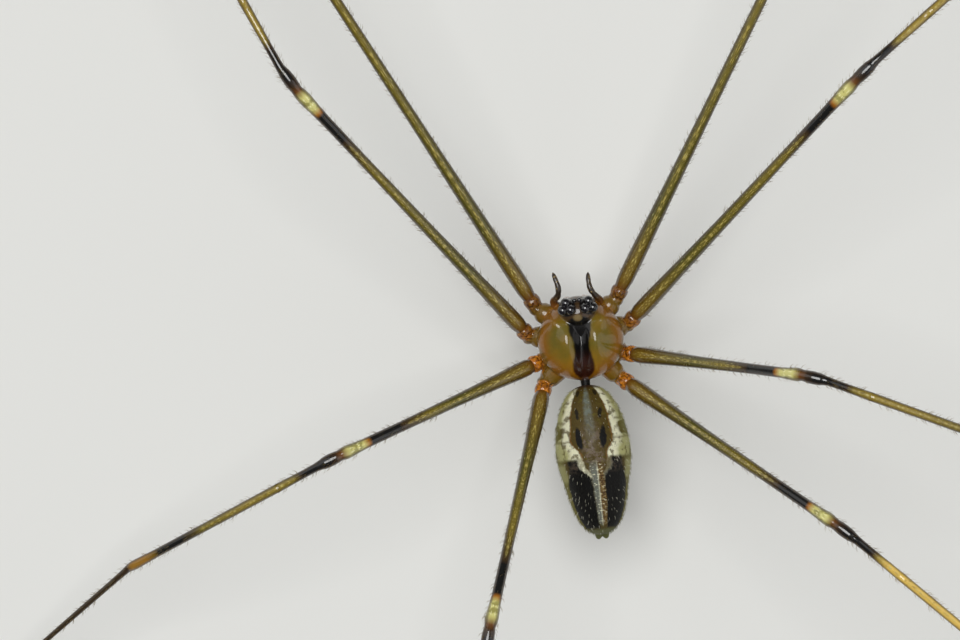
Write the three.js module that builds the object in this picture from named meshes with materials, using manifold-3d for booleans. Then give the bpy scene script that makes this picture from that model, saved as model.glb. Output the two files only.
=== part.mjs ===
// A female cellar spider of the family Pholcidae, life size, standing on level ground.
// Lengths are in millimetres and +Z is up. The head points along -Y, so +X is the animal's left.
import * as THREE from "three";
import { mergeVertices } from "three/addons/utils/BufferGeometryUtils.js";
import Module from "manifold-3d";

const wasm = await Module();
wasm.setup();

// Driving sizes
const SIDES = { left: 1, right: -1 };
const HIP_HEIGHT = 3.0;
const JOINT_GAP = 0.12;
const LIMB_RADIUS = 0.25;
const LIMB_SIDES = 10;

// The thorax is a low dome with a furrow along its middle, and the head stands up at its front.
const THORAX = { middle: 0, halfWidth: 0.87, halfLength: 0.8, height: 3.1, dome: 0.56, belly: 0.36 };
const FURROW = { depth: 0.14, halfWidth: 0.2 };
const HEAD = { middle: -0.55, halfWidth: 0.45, halfLength: 0.38, height: 3.42, crown: 0.42, floor: 3.06 };
const STERNUM = { middle: 0, halfWidth: 0.5, halfLength: 0.62, height: 2.86, depth: 0.3 };

// Three lenses make each eye group: the places are from the group's middle, outward and forward.
const EYE_GROUP = { out: 0.22, forward: 0.68, height: 3.76, lens: 0.105, gap: 0.05 };
const LENSES = [
  { out: 0.085, forward: -0.055, up: 0.0 },
  { out: -0.075, forward: -0.065, up: 0.03 },
  { out: 0.01, forward: 0.085, up: -0.02 },
];

// The abdomen is a blunt egg that narrows towards its end and hangs a little lower there.
const ABDOMEN = {
  front: 0.93,
  halfLength: 1.5,
  halfWidth: 0.765,
  height: 3.2,
  back: 0.76,
  belly: 0.64,
  bluntness: 0.09,
  taper: { from: -0.15, to: 0.45, share: 0.13 },
  droop: 0.1,
};
const WAIST = { radius: 0.2, height: 3.1, start: 0.5, end: 0.84, inAbdomen: 0.5 };
const GENITAL_PLATE = { middle: 1.75, height: 2.62, halfWidth: 0.36, halfLength: 0.3, depth: 0.16 };
const SPINNERETS = { from: 3.78, height: 2.92, length: 0.3, radius: 0.22, seat: 0.5, slope: -0.5 };

const CHELICERA = {
  out: 0.2,
  forward: 0.66,
  top: 2.94,
  bottom: 2.12,
  lean: 0.14,
  halfWidth: 0.17,
  halfDepth: 0.22,
};
const FANG = { rise: 0.1, inward: 0.1, reach: 0.22, drop: 0.1, radius: 0.09 };

// A palp's joints from root to tip: outward, forward, and above the hips.
const PALP = {
  inner: [0.26, 0.45, 0],
  seat: [0.43, 0.86, 0.06],
  path: [[0.43, 0.96, 0.08], [0.44, 1.1, 0.24], [0.38, 1.22, 0.36], [0.35, 1.5, 0.36]],
  radius: 0.18,
  tip: 0.11,
};

// Leg pairs from front to back: the hip's place outward and backward, and the length of each segment.
const LEG_PAIRS = [
  { hip: [0.92, -0.95], femur: 9.8, patella: 0.6, tibia: 9.8, metatarsus: 16.0, tarsus: 2.0 },
  { hip: [1.14, -0.36], femur: 7.1, patella: 0.58, tibia: 6.9, metatarsus: 10.5, tarsus: 1.5 },
  { hip: [1.04, 0.4], femur: 4.7, patella: 0.52, tibia: 4.9, metatarsus: 6.9, tarsus: 1.1 },
  { hip: [0.88, 0.98], femur: 5.6, patella: 0.55, tibia: 5.9, metatarsus: 8.8, tarsus: 1.3 },
];

// The pose: each heading is in degrees outward from straight ahead, each rise in degrees above level.
const POSE = {
  left: [
    { femur: [26.8, 14], tibia: [20, -6], foot: 13 },
    { femur: [37.1, 25.8], tibia: [23, -8], foot: 30 },
    { femur: [108.4, 28.4], tibia: [112.1, -27.3], foot: 124.5 },
    { femur: [160.4, 34.8], tibia: [165.6, -20], foot: 172 },
  ],
  right: [
    { femur: [32.1, 16], tibia: [38, -6], foot: 45 },
    { femur: [48.9, 29.5], tibia: [54.7, -10], foot: 63 },
    { femur: [103.4, 47.3], tibia: [115.9, -21.5], foot: 127 },
    { femur: [130.9, 31.9], tibia: [135.9, -15], foot: 143 },
  ],
};

// Heights of a leg's last two joints, with the sole cut level with the ground.
const HEEL_HEIGHT = 0.22;
const TOE_HEIGHT = 0.11;
const BOW = 0.018; // how far a segment arches, as a share of its length

// Limb outlines: share of the length, then radius as a share of LIMB_RADIUS.
const TROCHANTER_OUTLINE = [[0, 0.8], [0.3, 1.04], [0.75, 1.0], [1, 0.8]];
const FEMUR_OUTLINE = [[0, 0.78], [0.03, 0.94], [0.09, 1.06], [0.3, 1.02], [0.93, 1], [0.975, 1.1], [1, 0.8]];
const PATELLA_OUTLINE = [[0, 0.8], [0.2, 1.08], [0.6, 1.14], [1, 0.9]];
const TIBIA_OUTLINE = [[0, 0.9], [0.05, 1], [0.5, 1], [0.94, 1], [0.98, 1.08], [1, 0.8]];
const METATARSUS_OUTLINE = [[0, 0.8], [0.02, 1.02], [0.25, 1], [0.6, 0.98], [1, 0.88]];
const TARSUS_OUTLINE = [[0, 0.88], [0.5, 0.72], [0.9, 0.56], [1, 0.4]];
const COXA_OUTLINE = [[0, 0.9], [0.5, 1.12], [0.85, 1.08], [1, 0.85]];
const CHELICERA_OUTLINE = [[0, 0.86], [0.2, 1], [0.7, 1], [0.93, 0.86], [1, 0.6]];
const FANG_OUTLINE = [[0, 1], [0.5, 0.8], [1, 0.25]];
const PALP_OUTLINES = [
  [[0, 0.9], [0.4, 1], [1, 0.92]],
  [[0, 0.92], [0.5, 0.95], [1, 0.82]],
  [[0, 0.82], [0.5, 0.76], [0.9, PALP.tip / PALP.radius], [1, 0.3]],
];
const SPINNERET_OUTLINE = [[0, 1], [0.5, 0.86], [1, 0.5]];
const ROD_OUTLINE = [[0, 1], [1, 1]];

// A coxa starts under the dome, at these shares of its hip's place, and ends short of the hip.
const COXA = { outShare: 0.4, backShare: 0.45, rise: 0.06, elbow: 0.22 };
const TROCHANTER_LENGTH = 0.36;
const PATELLA_OVERLAP = 0.1;
const GROUND_REACH = 30;

const FINISH = {
  amber: new THREE.MeshStandardMaterial({ color: "#8a6412", roughness: 0.3, metalness: 0 }),
  eye: new THREE.MeshStandardMaterial({ color: "#0a0806", roughness: 0.08, metalness: 0 }),
  mouth: new THREE.MeshStandardMaterial({ color: "#5a3a10", roughness: 0.4, metalness: 0 }),
  palp: new THREE.MeshStandardMaterial({ color: "#2e2410", roughness: 0.45, metalness: 0 }),
  abdomen: new THREE.MeshStandardMaterial({ color: "#8c8a5e", roughness: 0.5, metalness: 0 }),
  leg: new THREE.MeshStandardMaterial({ color: "#56500f", roughness: 0.4, metalness: 0 }),
};

const spider = new THREE.Group();

// A closed geometry as a solid, with shared corners merged and flat slivers at the poles dropped.
function solidOf(geometry) {
  const bare = new THREE.BufferGeometry();
  bare.setAttribute("position", geometry.getAttribute("position"));
  bare.setIndex(geometry.getIndex());
  const merged = mergeVertices(bare, 1e-4);
  const corners = [];
  const index = merged.index.array;
  for (let i = 0; i < index.length; i += 3) {
    const [a, b, c] = index.slice(i, i + 3);
    if (a !== b && b !== c && c !== a) corners.push(a, b, c);
  }
  const build = (list) => {
    const vertProperties = new Float32Array(merged.attributes.position.array);
    return new wasm.Manifold(new wasm.Mesh({ numProp: 3, vertProperties, triVerts: new Uint32Array(list) }));
  };
  const made = build(corners);
  return made.volume() > 0 ? made : build(corners.reverse());
}

// Moves every point of a geometry by a function of its place.
function reshape(geometry, move) {
  const places = geometry.getAttribute("position");
  const point = new THREE.Vector3();
  for (let i = 0; i < places.count; i++) {
    point.fromBufferAttribute(places, i);
    places.setXYZ(i, ...move(point).toArray());
  }
  return geometry;
}

// A round limb from one joint to the next, arched upward a little by its bow.
function limb(from, to, outline, { radius = LIMB_RADIUS, bow = 0, sides = LIMB_SIDES } = {}) {
  const axis = to.clone().sub(from);
  const length = axis.length();
  const rows = outline.map(([share, width]) => new THREE.Vector2(width * radius, share * length));
  const profile = [new THREE.Vector2(0, 0), ...rows, new THREE.Vector2(0, length)];
  const turn = new THREE.Quaternion().setFromUnitVectors(new THREE.Vector3(0, 1, 0), axis.normalize());
  const lathe = new THREE.LatheGeometry(profile, sides);
  return solidOf(
    reshape(lathe, (point) => {
      const share = point.y / length;
      point.applyQuaternion(turn).add(from);
      point.z += 4 * bow * length * share * (1 - share);
      return point;
    }),
  );
}

// A rounded body form: the shape places each point of a unit ball whose poles lie along the body.
function ball(around, along, shape) {
  return solidOf(reshape(new THREE.SphereGeometry(1, around, along), shape));
}

function block(low, high) {
  const size = high.map((value, i) => value - low[i]);
  const middle = high.map((value, i) => (value + low[i]) / 2);
  return solidOf(new THREE.BoxGeometry(...size).translate(...middle));
}

function ellipsoid(centre, radii, around = 14, along = 10) {
  const place = (p) => p.multiply(new THREE.Vector3(...radii)).add(new THREE.Vector3(...centre));
  return ball(around, along, place);
}

// Adds a solid to the animal as a named part, keeping its largest closed surface.
function addPart(name, body, finish) {
  const [largest] = body.decompose().sort((a, b) => b.volume() - a.volume());
  const { vertProperties, triVerts } = largest.getMesh();
  const geometry = new THREE.BufferGeometry();
  geometry.setAttribute("position", new THREE.BufferAttribute(vertProperties, 3));
  geometry.setIndex(new THREE.BufferAttribute(triVerts, 1));
  geometry.computeVertexNormals();
  const mesh = new THREE.Mesh(geometry, finish);
  mesh.name = name;
  spider.add(mesh);
}

const union = (pieces) => pieces.reduce((whole, piece) => whole.add(piece));
const smooth = (low, high, value) => THREE.MathUtils.smoothstep(value, low, high);

// The way a segment points, from its heading and its rise.
function direction(side, heading, rise) {
  const h = THREE.MathUtils.degToRad(heading);
  const r = THREE.MathUtils.degToRad(rise);
  return new THREE.Vector3(side * Math.sin(h) * Math.cos(r), -Math.cos(h) * Math.cos(r), Math.sin(r));
}

const along = (from, way, length) => from.clone().addScaledVector(way, length);
const palpPlace = (side, [out, forward, rise]) => new THREE.Vector3(side * out, -forward, HIP_HEIGHT + rise);

// The rise that takes a segment of this length from one height to another.
const riseTo = (fromHeight, toHeight, length) =>
  THREE.MathUtils.radToDeg(Math.asin((toHeight - fromHeight) / length));

// Every joint of one leg, from the hip to the tip, with the way that each segment points.
function legJoints(pair, pose, side) {
  const [femurHeading, femurRise] = pose.femur;
  const [tibiaHeading, tibiaRise] = pose.tibia;
  const hip = new THREE.Vector3(side * pair.hip[0], pair.hip[1], HIP_HEIGHT);
  const femurWay = direction(side, femurHeading, femurRise);
  const knee = along(hip, femurWay, pair.femur);
  const patellaWay = direction(side, (femurHeading + tibiaHeading) / 2, (femurRise + tibiaRise) / 2);
  const shin = along(knee, patellaWay, pair.patella);
  const tibiaWay = direction(side, tibiaHeading, tibiaRise);
  const ankle = along(shin, tibiaWay, pair.tibia);
  const footWay = direction(side, pose.foot, riseTo(ankle.z, HEEL_HEIGHT, pair.metatarsus));
  const heel = along(ankle, footWay, pair.metatarsus);
  const toeWay = direction(side, pose.foot, riseTo(heel.z, TOE_HEIGHT, pair.tarsus));
  const toe = along(heel, toeWay, pair.tarsus);
  return { hip, knee, shin, ankle, heel, toe, femurWay, patellaWay, footWay };
}

function addLeg(name, joints) {
  const { hip, knee, shin, ankle, heel, toe, femurWay, patellaWay, footWay } = joints;
  const half = JOINT_GAP / 2;
  const femurStart = along(hip, femurWay, JOINT_GAP);
  const femur = limb(femurStart, along(knee, femurWay, -half), FEMUR_OUTLINE, { bow: BOW });
  addPart(`${name}_femur`, femur, FINISH.leg);

  const patellaEnd = along(shin, patellaWay, PATELLA_OVERLAP);
  const patella = limb(along(knee, patellaWay, half), patellaEnd, PATELLA_OUTLINE);
  const tibiaEnd = ankle.clone().lerp(shin, half / ankle.distanceTo(shin));
  const tibia = limb(shin, tibiaEnd, TIBIA_OUTLINE, { bow: BOW });
  addPart(`${name}_tibia`, union([patella, tibia]), FINISH.leg);

  const metatarsus = limb(along(ankle, footWay, half), heel, METATARSUS_OUTLINE, { bow: BOW });
  const tarsus = limb(heel, toe, TARSUS_OUTLINE);
  const ground = block(
    [toe.x - GROUND_REACH, toe.y - GROUND_REACH, -GROUND_REACH],
    [toe.x + GROUND_REACH, toe.y + GROUND_REACH, 0],
  );
  addPart(`${name}_foot`, union([metatarsus, tarsus]).subtract(ground), FINISH.leg);
}

// The leg's root that belongs to the body: a coxa under the dome and a trochanter that faces the femur.
function legRoot({ hip, femurWay }) {
  const inner = new THREE.Vector3(hip.x * COXA.outShare, hip.y * COXA.backShare, STERNUM.height + COXA.rise);
  const coxa = limb(inner, along(hip, femurWay, -COXA.elbow), COXA_OUTLINE);
  const trochanter = limb(along(hip, femurWay, -TROCHANTER_LENGTH), hip, TROCHANTER_OUTLINE);
  return coxa.add(trochanter);
}

function thoraxDome() {
  return ball(32, 22, (p) => {
    const x = THORAX.halfWidth * p.x;
    const furrow = FURROW.depth * Math.exp(-((x / FURROW.halfWidth) ** 2)) * Math.max(0, p.z);
    const rise = p.z > 0 ? THORAX.dome * p.z - furrow : THORAX.belly * p.z;
    return p.set(x, THORAX.middle + THORAX.halfLength * p.y, THORAX.height + rise);
  });
}

// One group of lenses, or the socket that the head keeps free for it.
function eyeGroup(side, grow = 0) {
  const radius = EYE_GROUP.lens + grow;
  const lenses = LENSES.map(({ out, forward, up }) =>
    ellipsoid(
      [side * (EYE_GROUP.out + out), -(EYE_GROUP.forward + forward), EYE_GROUP.height + up],
      [radius, radius, radius],
      12,
      8,
    ),
  );
  return union(lenses);
}

function addCephalothorax(legs) {
  const head = ellipsoid(
    [0, HEAD.middle, HEAD.height],
    [HEAD.halfWidth, HEAD.halfLength, HEAD.crown],
    24,
    16,
  );
  const jawLine = block([-1, -2, HEAD.floor - 2], [1, HEAD.middle + 0.06, HEAD.floor]);
  const sternum = ellipsoid(
    [0, STERNUM.middle, STERNUM.height],
    [STERNUM.halfWidth, STERNUM.halfLength, STERNUM.depth],
    20,
    12,
  );
  const waist = limb(
    new THREE.Vector3(0, WAIST.start, WAIST.height),
    new THREE.Vector3(0, WAIST.end, WAIST.height),
    ROD_OUTLINE,
    { radius: WAIST.radius },
  );
  const palpRoots = Object.values(SIDES).map((side) => {
    const seat = palpPlace(side, PALP.seat);
    return limb(palpPlace(side, PALP.inner), seat, [[0, 1], [1, 0.9]], { radius: PALP.radius });
  });
  const shield = union([thoraxDome(), head]).subtract(jawLine);
  const whole = union([shield, sternum, waist, ...palpRoots, ...legs.map(legRoot)]);
  const sockets = eyeGroup(1, EYE_GROUP.gap).add(eyeGroup(-1, EYE_GROUP.gap));
  addPart("cephalothorax", whole.subtract(sockets), FINISH.amber);
}

function addChelicera(name, side) {
  const { out, forward, top, bottom, lean, halfWidth, halfDepth } = CHELICERA;
  const root = new THREE.Vector3(side * out, -forward, top);
  const front = -forward - lean;
  const end = new THREE.Vector3(side * out, front, bottom);
  const column = limb(root, end, CHELICERA_OUTLINE, { radius: 1, sides: 14 });
  const narrowed = column
    .translate(-side * out, forward, 0)
    .scale([halfWidth, halfDepth, 1])
    .translate(side * out, -forward - lean * (1 - halfDepth) * 0.5, 0);
  const fangRoot = new THREE.Vector3(side * out, front, bottom + FANG.rise);
  const fangTip = new THREE.Vector3(side * (out - FANG.inward), front + FANG.reach, bottom - FANG.drop);
  const fang = limb(fangRoot, fangTip, FANG_OUTLINE, { radius: FANG.radius });
  addPart(name, narrowed.add(fang), FINISH.mouth);
}

function addPalp(name, side) {
  const joints = PALP.path.map((place) => palpPlace(side, place));
  const pieces = PALP_OUTLINES.map((outline, i) =>
    limb(joints[i], joints[i + 1], outline, { radius: PALP.radius }),
  );
  addPart(name, union(pieces), FINISH.palp);
}

function addAbdomen() {
  const middle = ABDOMEN.front + ABDOMEN.halfLength;
  const form = ball(28, 26, (p) => {
    const t = p.y;
    const fullness = Math.max(1 - t * t, 1e-6) ** -ABDOMEN.bluntness;
    const taper = 1 - ABDOMEN.taper.share * smooth(ABDOMEN.taper.from, ABDOMEN.taper.to, t);
    const rise = p.z > 0 ? ABDOMEN.back : ABDOMEN.belly;
    return p.set(
      ABDOMEN.halfWidth * p.x * fullness * taper,
      middle + ABDOMEN.halfLength * t,
      ABDOMEN.height + rise * p.z * fullness * taper - ABDOMEN.droop * t,
    );
  });
  const stalk = limb(
    new THREE.Vector3(0, WAIST.end + JOINT_GAP, WAIST.height),
    new THREE.Vector3(0, ABDOMEN.front + WAIST.inAbdomen, WAIST.height),
    [[0, 1], [1, 1.2]],
    { radius: WAIST.radius },
  );
  const plate = ellipsoid(
    [0, GENITAL_PLATE.middle, GENITAL_PLATE.height],
    [GENITAL_PLATE.halfWidth, GENITAL_PLATE.halfLength, GENITAL_PLATE.depth],
  );
  const tail = new THREE.Vector3(0, SPINNERETS.from, SPINNERETS.height);
  const way = new THREE.Vector3(0, 1, SPINNERETS.slope).normalize();
  const seat = limb(along(tail, way, -SPINNERETS.seat), tail, ROD_OUTLINE, { radius: SPINNERETS.radius });
  addPart("abdomen", union([form, stalk, plate, seat]), FINISH.abdomen);

  const root = along(tail, way, JOINT_GAP);
  const tip = along(root, way, SPINNERETS.length);
  addPart("spinnerets", limb(root, tip, SPINNERET_OUTLINE, { radius: SPINNERETS.radius }), FINISH.abdomen);
}

const legs = [];
for (const [sideName, side] of Object.entries(SIDES)) {
  LEG_PAIRS.forEach((pair, i) => {
    const joints = legJoints(pair, POSE[sideName][i], side);
    legs.push(joints);
    addLeg(`leg_${sideName}_${i + 1}`, joints);
  });
  addChelicera(`chelicera_${sideName}`, side);
  addPalp(`palp_${sideName}`, side);
  addPart(`eyes_${sideName}`, eyeGroup(side), FINISH.eye);
}
addCephalothorax(legs);
addAbdomen();

// The origin is on the ground, under the middle of the box round the whole animal.
const bounds = new THREE.Box3().setFromObject(spider, true);
const centre = bounds.getCenter(new THREE.Vector3());
spider.position.set(-centre.x, -centre.y, -bounds.min.z);

export default spider;
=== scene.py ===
"""A female cellar spider, life size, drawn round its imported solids.

Shapes are worked out in millimetres from the spider's own origin, which lies on the ground below the
middle of its thorax, with the head towards -Y. add_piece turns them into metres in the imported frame.
"""
import math
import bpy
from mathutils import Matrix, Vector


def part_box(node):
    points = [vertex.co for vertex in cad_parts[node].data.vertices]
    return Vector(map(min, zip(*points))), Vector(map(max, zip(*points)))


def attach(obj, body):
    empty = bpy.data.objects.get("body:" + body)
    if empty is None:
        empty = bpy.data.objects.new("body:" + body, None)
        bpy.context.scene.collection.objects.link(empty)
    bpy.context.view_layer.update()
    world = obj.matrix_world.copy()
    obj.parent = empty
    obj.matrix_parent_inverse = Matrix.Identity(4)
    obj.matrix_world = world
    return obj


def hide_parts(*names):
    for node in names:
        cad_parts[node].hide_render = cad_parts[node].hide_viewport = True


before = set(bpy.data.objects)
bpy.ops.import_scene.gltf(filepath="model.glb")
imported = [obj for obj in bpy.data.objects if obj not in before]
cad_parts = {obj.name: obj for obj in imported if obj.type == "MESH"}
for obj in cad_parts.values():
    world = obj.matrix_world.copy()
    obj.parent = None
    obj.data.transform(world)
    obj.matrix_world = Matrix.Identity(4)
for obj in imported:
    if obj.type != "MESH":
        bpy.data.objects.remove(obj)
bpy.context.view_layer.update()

from types import SimpleNamespace

import bpy
import numpy as np
from bpy.props import FloatProperty, FloatVectorProperty, IntProperty, PointerProperty
from mathutils import Vector, noise

bl_info = {
    "name": "Cellar Spider",
    "version": (1, 0, 0),
    "blender": (4, 5, 0),
    "location": "View3D > Sidebar > Spider",
    "description": "Builds a life-size cellar spider round its packed solids",
    "category": "Add Mesh",
}

MM = 0.001
SIDES = {"left": 1, "right": -1}
EYES_AHEAD = 0.69  # the eye solids' middle, ahead of the spider's own origin


def spider_origin():
    """Where the spider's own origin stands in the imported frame."""
    corners = [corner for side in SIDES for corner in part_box(f"eyes_{side}")]
    middle = sum(corners, Vector()) / len(corners)
    return Vector((middle.x, middle.y + EYES_AHEAD * MM, 0.0))


ORIGIN = spider_origin()

# Leg pairs from front to back: the hip's place, then each segment's length.
HIP_HEIGHT = 3.0
LEG_PAIRS = [
    {"hip": (0.92, -0.95), "femur": 9.8, "patella": 0.6, "tibia": 9.8, "metatarsus": 16.0, "tarsus": 2.0},
    {"hip": (1.14, -0.36), "femur": 7.1, "patella": 0.58, "tibia": 6.9, "metatarsus": 10.5, "tarsus": 1.5},
    {"hip": (1.04, 0.4), "femur": 4.7, "patella": 0.52, "tibia": 4.9, "metatarsus": 6.9, "tarsus": 1.1},
    {"hip": (0.88, 0.98), "femur": 5.6, "patella": 0.55, "tibia": 5.9, "metatarsus": 8.8, "tarsus": 1.3},
]

# The pose: headings outward from straight ahead and rises above level, in degrees.
# paleness is how far the tibia turns from olive to straw yellow.
POSE = {
    "left": [
        {"femur": (26.8, 14), "tibia": (20, -6), "foot": 13, "paleness": 0.1},
        {"femur": (37.1, 25.8), "tibia": (23, -8), "foot": 30, "paleness": 0.25},
        {"femur": (108.4, 28.4), "tibia": (112.1, -27.3), "foot": 124.5, "paleness": 0.1},
        {"femur": (160.4, 34.8), "tibia": (165.6, -20), "foot": 172, "paleness": 0.2},
    ],
    "right": [
        {"femur": (32.1, 16), "tibia": (38, -6), "foot": 45, "paleness": 0.1},
        {"femur": (48.9, 29.5), "tibia": (54.7, -10), "foot": 63, "paleness": 0.3},
        {"femur": (103.4, 47.3), "tibia": (115.9, -21.5), "foot": 127, "paleness": 0.2},
        {"femur": (130.9, 31.9), "tibia": (135.9, -15), "foot": 143, "paleness": 1.0},
    ],
}
HEEL_HEIGHT = 0.05
TOE_HEIGHT = 0.035
BOW = 0.018  # how far a segment arches, as a share of its length

# Leg thickness: share of the segment's length, then radius.
FEMUR_RADII = [(0, 0.15), (0.02, 0.166), (0.07, 0.168), (0.2, 0.143), (0.4, 0.118), (0.7, 0.103),
               (0.88, 0.106), (0.93, 0.12), (0.965, 0.138), (0.99, 0.13), (1, 0.1)]
PATELLA_RADII = [(0, 0.1), (0.1, 0.115), (0.4, 0.132), (0.75, 0.118), (1, 0.08)]
TIBIA_RADII = [(0, 0.078), (0.02, 0.086), (0.06, 0.08), (0.2, 0.09), (0.5, 0.086), (0.85, 0.083), (0.96, 0.1),
               (0.99, 0.096), (1, 0.07)]
METATARSUS_RADII = [(0, 0.055), (0.01, 0.072), (0.05, 0.062), (0.4, 0.052), (0.9, 0.044), (0.985, 0.048),
                    (1, 0.036)]
TARSUS_RADII = [(0, 0.036), (0.04, 0.042), (0.5, 0.036), (0.9, 0.03), (0.97, 0.022), (1, 0.008)]
SEGMENTS = [
    ("femur", FEMUR_RADII, 64),
    ("patella", PATELLA_RADII, 10),
    ("tibia", TIBIA_RADII, 56),
    ("metatarsus", METATARSUS_RADII, 60),
    ("tarsus", TARSUS_RADII, 14),
]
LEG_SIDES = 20
FEMUR_IN_RING = 0.07  # how far a femur reaches into the ring at its root
FEMUR_ROOT_RADIUS = 0.11
BOWED = {"femur", "tibia", "metatarsus"}
MARKED_ENDS = 2.0  # the marks this near a segment's ends keep their size on every leg
USUAL_LENGTHS = {"femur": 7.1, "tibia": 4.9}  # the segments on which the marks were measured


def linear(red, green, blue):
    """A colour in the renderer's linear values, from the 0 to 255 values of a picture."""
    shares = (red / 255, green / 255, blue / 255)
    return tuple(c / 12.92 if c <= 0.04045 else ((c + 0.055) / 1.055) ** 2.4 for c in shares)


def length(name, description, millimetres):
    """A property that holds a length, given in millimetres and kept in metres."""
    return FloatProperty(
        name=name, description=description, default=millimetres * MM, min=0, unit="LENGTH", precision=6
    )


def colour(name, description, red, green, blue):
    """A property that holds a colour, given as in a picture and kept in linear values."""
    default = linear(red, green, blue)
    return FloatVectorProperty(
        name=name, description=description, default=default, subtype="COLOR", size=3, min=0, max=1
    )


class SpiderSizes(bpy.types.PropertyGroup):
    thorax_half_width: length("Thorax half width", "Half the width of the carapace's thorax", 0.865)
    thorax_half_length: length("Thorax half length", "Half the length of the carapace's thorax", 0.8)
    thorax_dome: length("Dome height", "How far the carapace rises above its rim", 0.5)
    furrow_depth: length("Furrow depth", "Depth of the furrow along the middle of the thorax", 0.15)
    skin_grain: length("Skin grain", "Size of the cells that fuse the body shell into one skin", 0.014)
    lens_radius: length("Lens radius", "Radius of the six large lenses", 0.104)
    middle_lens_radius: length("Middle lens radius", "Radius of the two small lenses in the middle", 0.045)
    abdomen_half_width: length("Abdomen half width", "Half the width of the abdomen", 0.755)
    abdomen_half_length: length("Abdomen half length", "Half the length of the abdomen", 1.5)
    hair_length: length("Hair length", "Usual length of a leg's hair", 0.14)
    hair_radius: length("Hair radius", "Radius of a leg's hair at its root", 0.0048)
    leg_hairs: IntProperty(name="Leg hairs", description="Hairs on each millimetre of leg", default=56, min=0)
    down_length: length("Down length", "Usual length of a hair on the abdomen", 0.075)
    down_radius: length("Down radius", "Radius of a hair on the abdomen at its root", 0.004)
    abdomen_hairs: IntProperty(name="Abdomen hairs", description="Hairs on the abdomen", default=3000, min=0)
    bright_hairs: FloatProperty(
        name="Bright hairs",
        description="Share of the abdomen's hairs that catch the light",
        default=0.16,
        min=0,
        max=1,
    )


class SpiderColours(bpy.types.PropertyGroup):
    amber: colour("Amber", "Rear of the carapace", 146, 104, 12)
    lobe: colour("Lobe", "Olive middle of each carapace lobe", 100, 88, 20)
    margin: colour("Margin", "Orange-brown rim of the carapace", 132, 84, 8)
    band: colour("Band", "Black band along the carapace", 6, 4, 3)
    band_rear: colour("Rear band", "Red-brown rear end of the band", 48, 19, 9)
    crown: colour("Crown", "Brown between and behind the eyes", 66, 46, 22)
    head_spot: colour("Head spot", "Pale spot behind the eyes", 132, 112, 72)
    coxa: colour("Coxa", "Swelling inward of each ring", 110, 82, 18)
    front_hip: colour("Front hip", "Ring at the root of each front leg", 124, 82, 18)
    rear_hip: colour("Rear hip", "Ring at the root of each rear leg", 200, 122, 24)
    ring_shade: colour("Ring shade", "Darker spots on the leg roots' rings", 96, 48, 10)
    lens: colour("Lens", "Eye lenses", 4, 3, 4)
    lens_gleam: colour("Lens gleam", "Faint violet patches in the lenses", 20, 14, 22)
    jaw: colour("Jaw", "Chelicerae", 112, 66, 18)
    palp: colour("Palp", "Palps", 40, 28, 14)
    palp_speck: colour("Palp speck", "Pale specks on the palps", 176, 150, 96)
    white: colour("White", "Inner part of the abdomen's white bands", 222, 220, 190)
    cream: colour("Cream", "Outer part of the white bands", 168, 166, 112)
    brown: colour("Brown", "Brown middle of the abdomen", 74, 60, 20)
    rust: colour("Rust", "Thin lines along the white bands", 122, 78, 20)
    dusk: colour("Dusk", "Grey-violet stretch behind the grey stripe", 104, 90, 76)
    grey: colour("Grey", "Grey-blue stripe at the abdomen's front", 104, 110, 100)
    black: colour("Black", "Black patches of the abdomen", 7, 6, 4)
    ladder: colour("Ladder", "Warm side of the pale stripe at the rear", 130, 108, 64)
    flank: colour("Flank", "Yellow-olive flanks of the abdomen", 104, 98, 28)
    tip: colour("Tip", "Grey-green end of the abdomen", 92, 96, 58)
    down: colour("Down", "Hairs of the abdomen that catch the light", 232, 228, 206)
    straw: colour("Straw", "Straw yellow of the palest tibia", 226, 190, 92)
    leg_rust: colour("Leg rust", "Rust at the legs' roots and at the knees", 104, 62, 16)
    leg_base: colour("Leg base", "Brown next to the root and beside the tibia's rings", 110, 84, 18)
    leg_olive: colour("Leg olive", "Olive stretch of each femur and tibia", 76, 72, 13)
    leg_gold: colour("Leg gold", "Gold stretch of each femur and tibia", 106, 92, 20)
    # Also painted shade down the sides of each leg; on the rings' edges and the dark flecks it is the leg's
    # own dark brown.
    leg_dark: colour("Leg dark", "Dark brown sides of the legs and edges of their rings", 50, 32, 12)
    leg_black: colour("Leg black", "Black rings and knees", 8, 7, 4)
    leg_orange: colour("Leg orange", "Orange edge of the pale ring before each knee", 158, 98, 20)
    leg_pale: colour("Leg pale", "Pale ring before each knee", 208, 202, 124)
    leg_tan: colour("Leg tan", "Tan ring at the end of each tibia", 150, 108, 34)
    foot_brown: colour("Foot brown", "Brown of the metatarsi", 52, 38, 16)
    foot_dark: colour("Foot dark", "Darker brown of the legs' tips", 34, 24, 12)
    ring_glass: colour("Ring glass", "Olive patches in the pale ring", 120, 112, 46)
    ring_glint: colour("Ring glint", "Bright flecks on the pale ring", 246, 242, 184)
    # A painted highlight: broken pale dashes along the top of each leg.
    leg_ridge: colour("Leg ridge", "Broken line of light along the top of a leg", 190, 170, 88)
    leg_glint: colour("Leg glint", "Small glints on a leg's upper sides", 200, 194, 124)
    leg_hair: colour("Leg hair", "Gold sheen of the legs' hair", 150, 122, 56)
    floor: colour("Floor", "Pale floor", 222, 222, 218)


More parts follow.
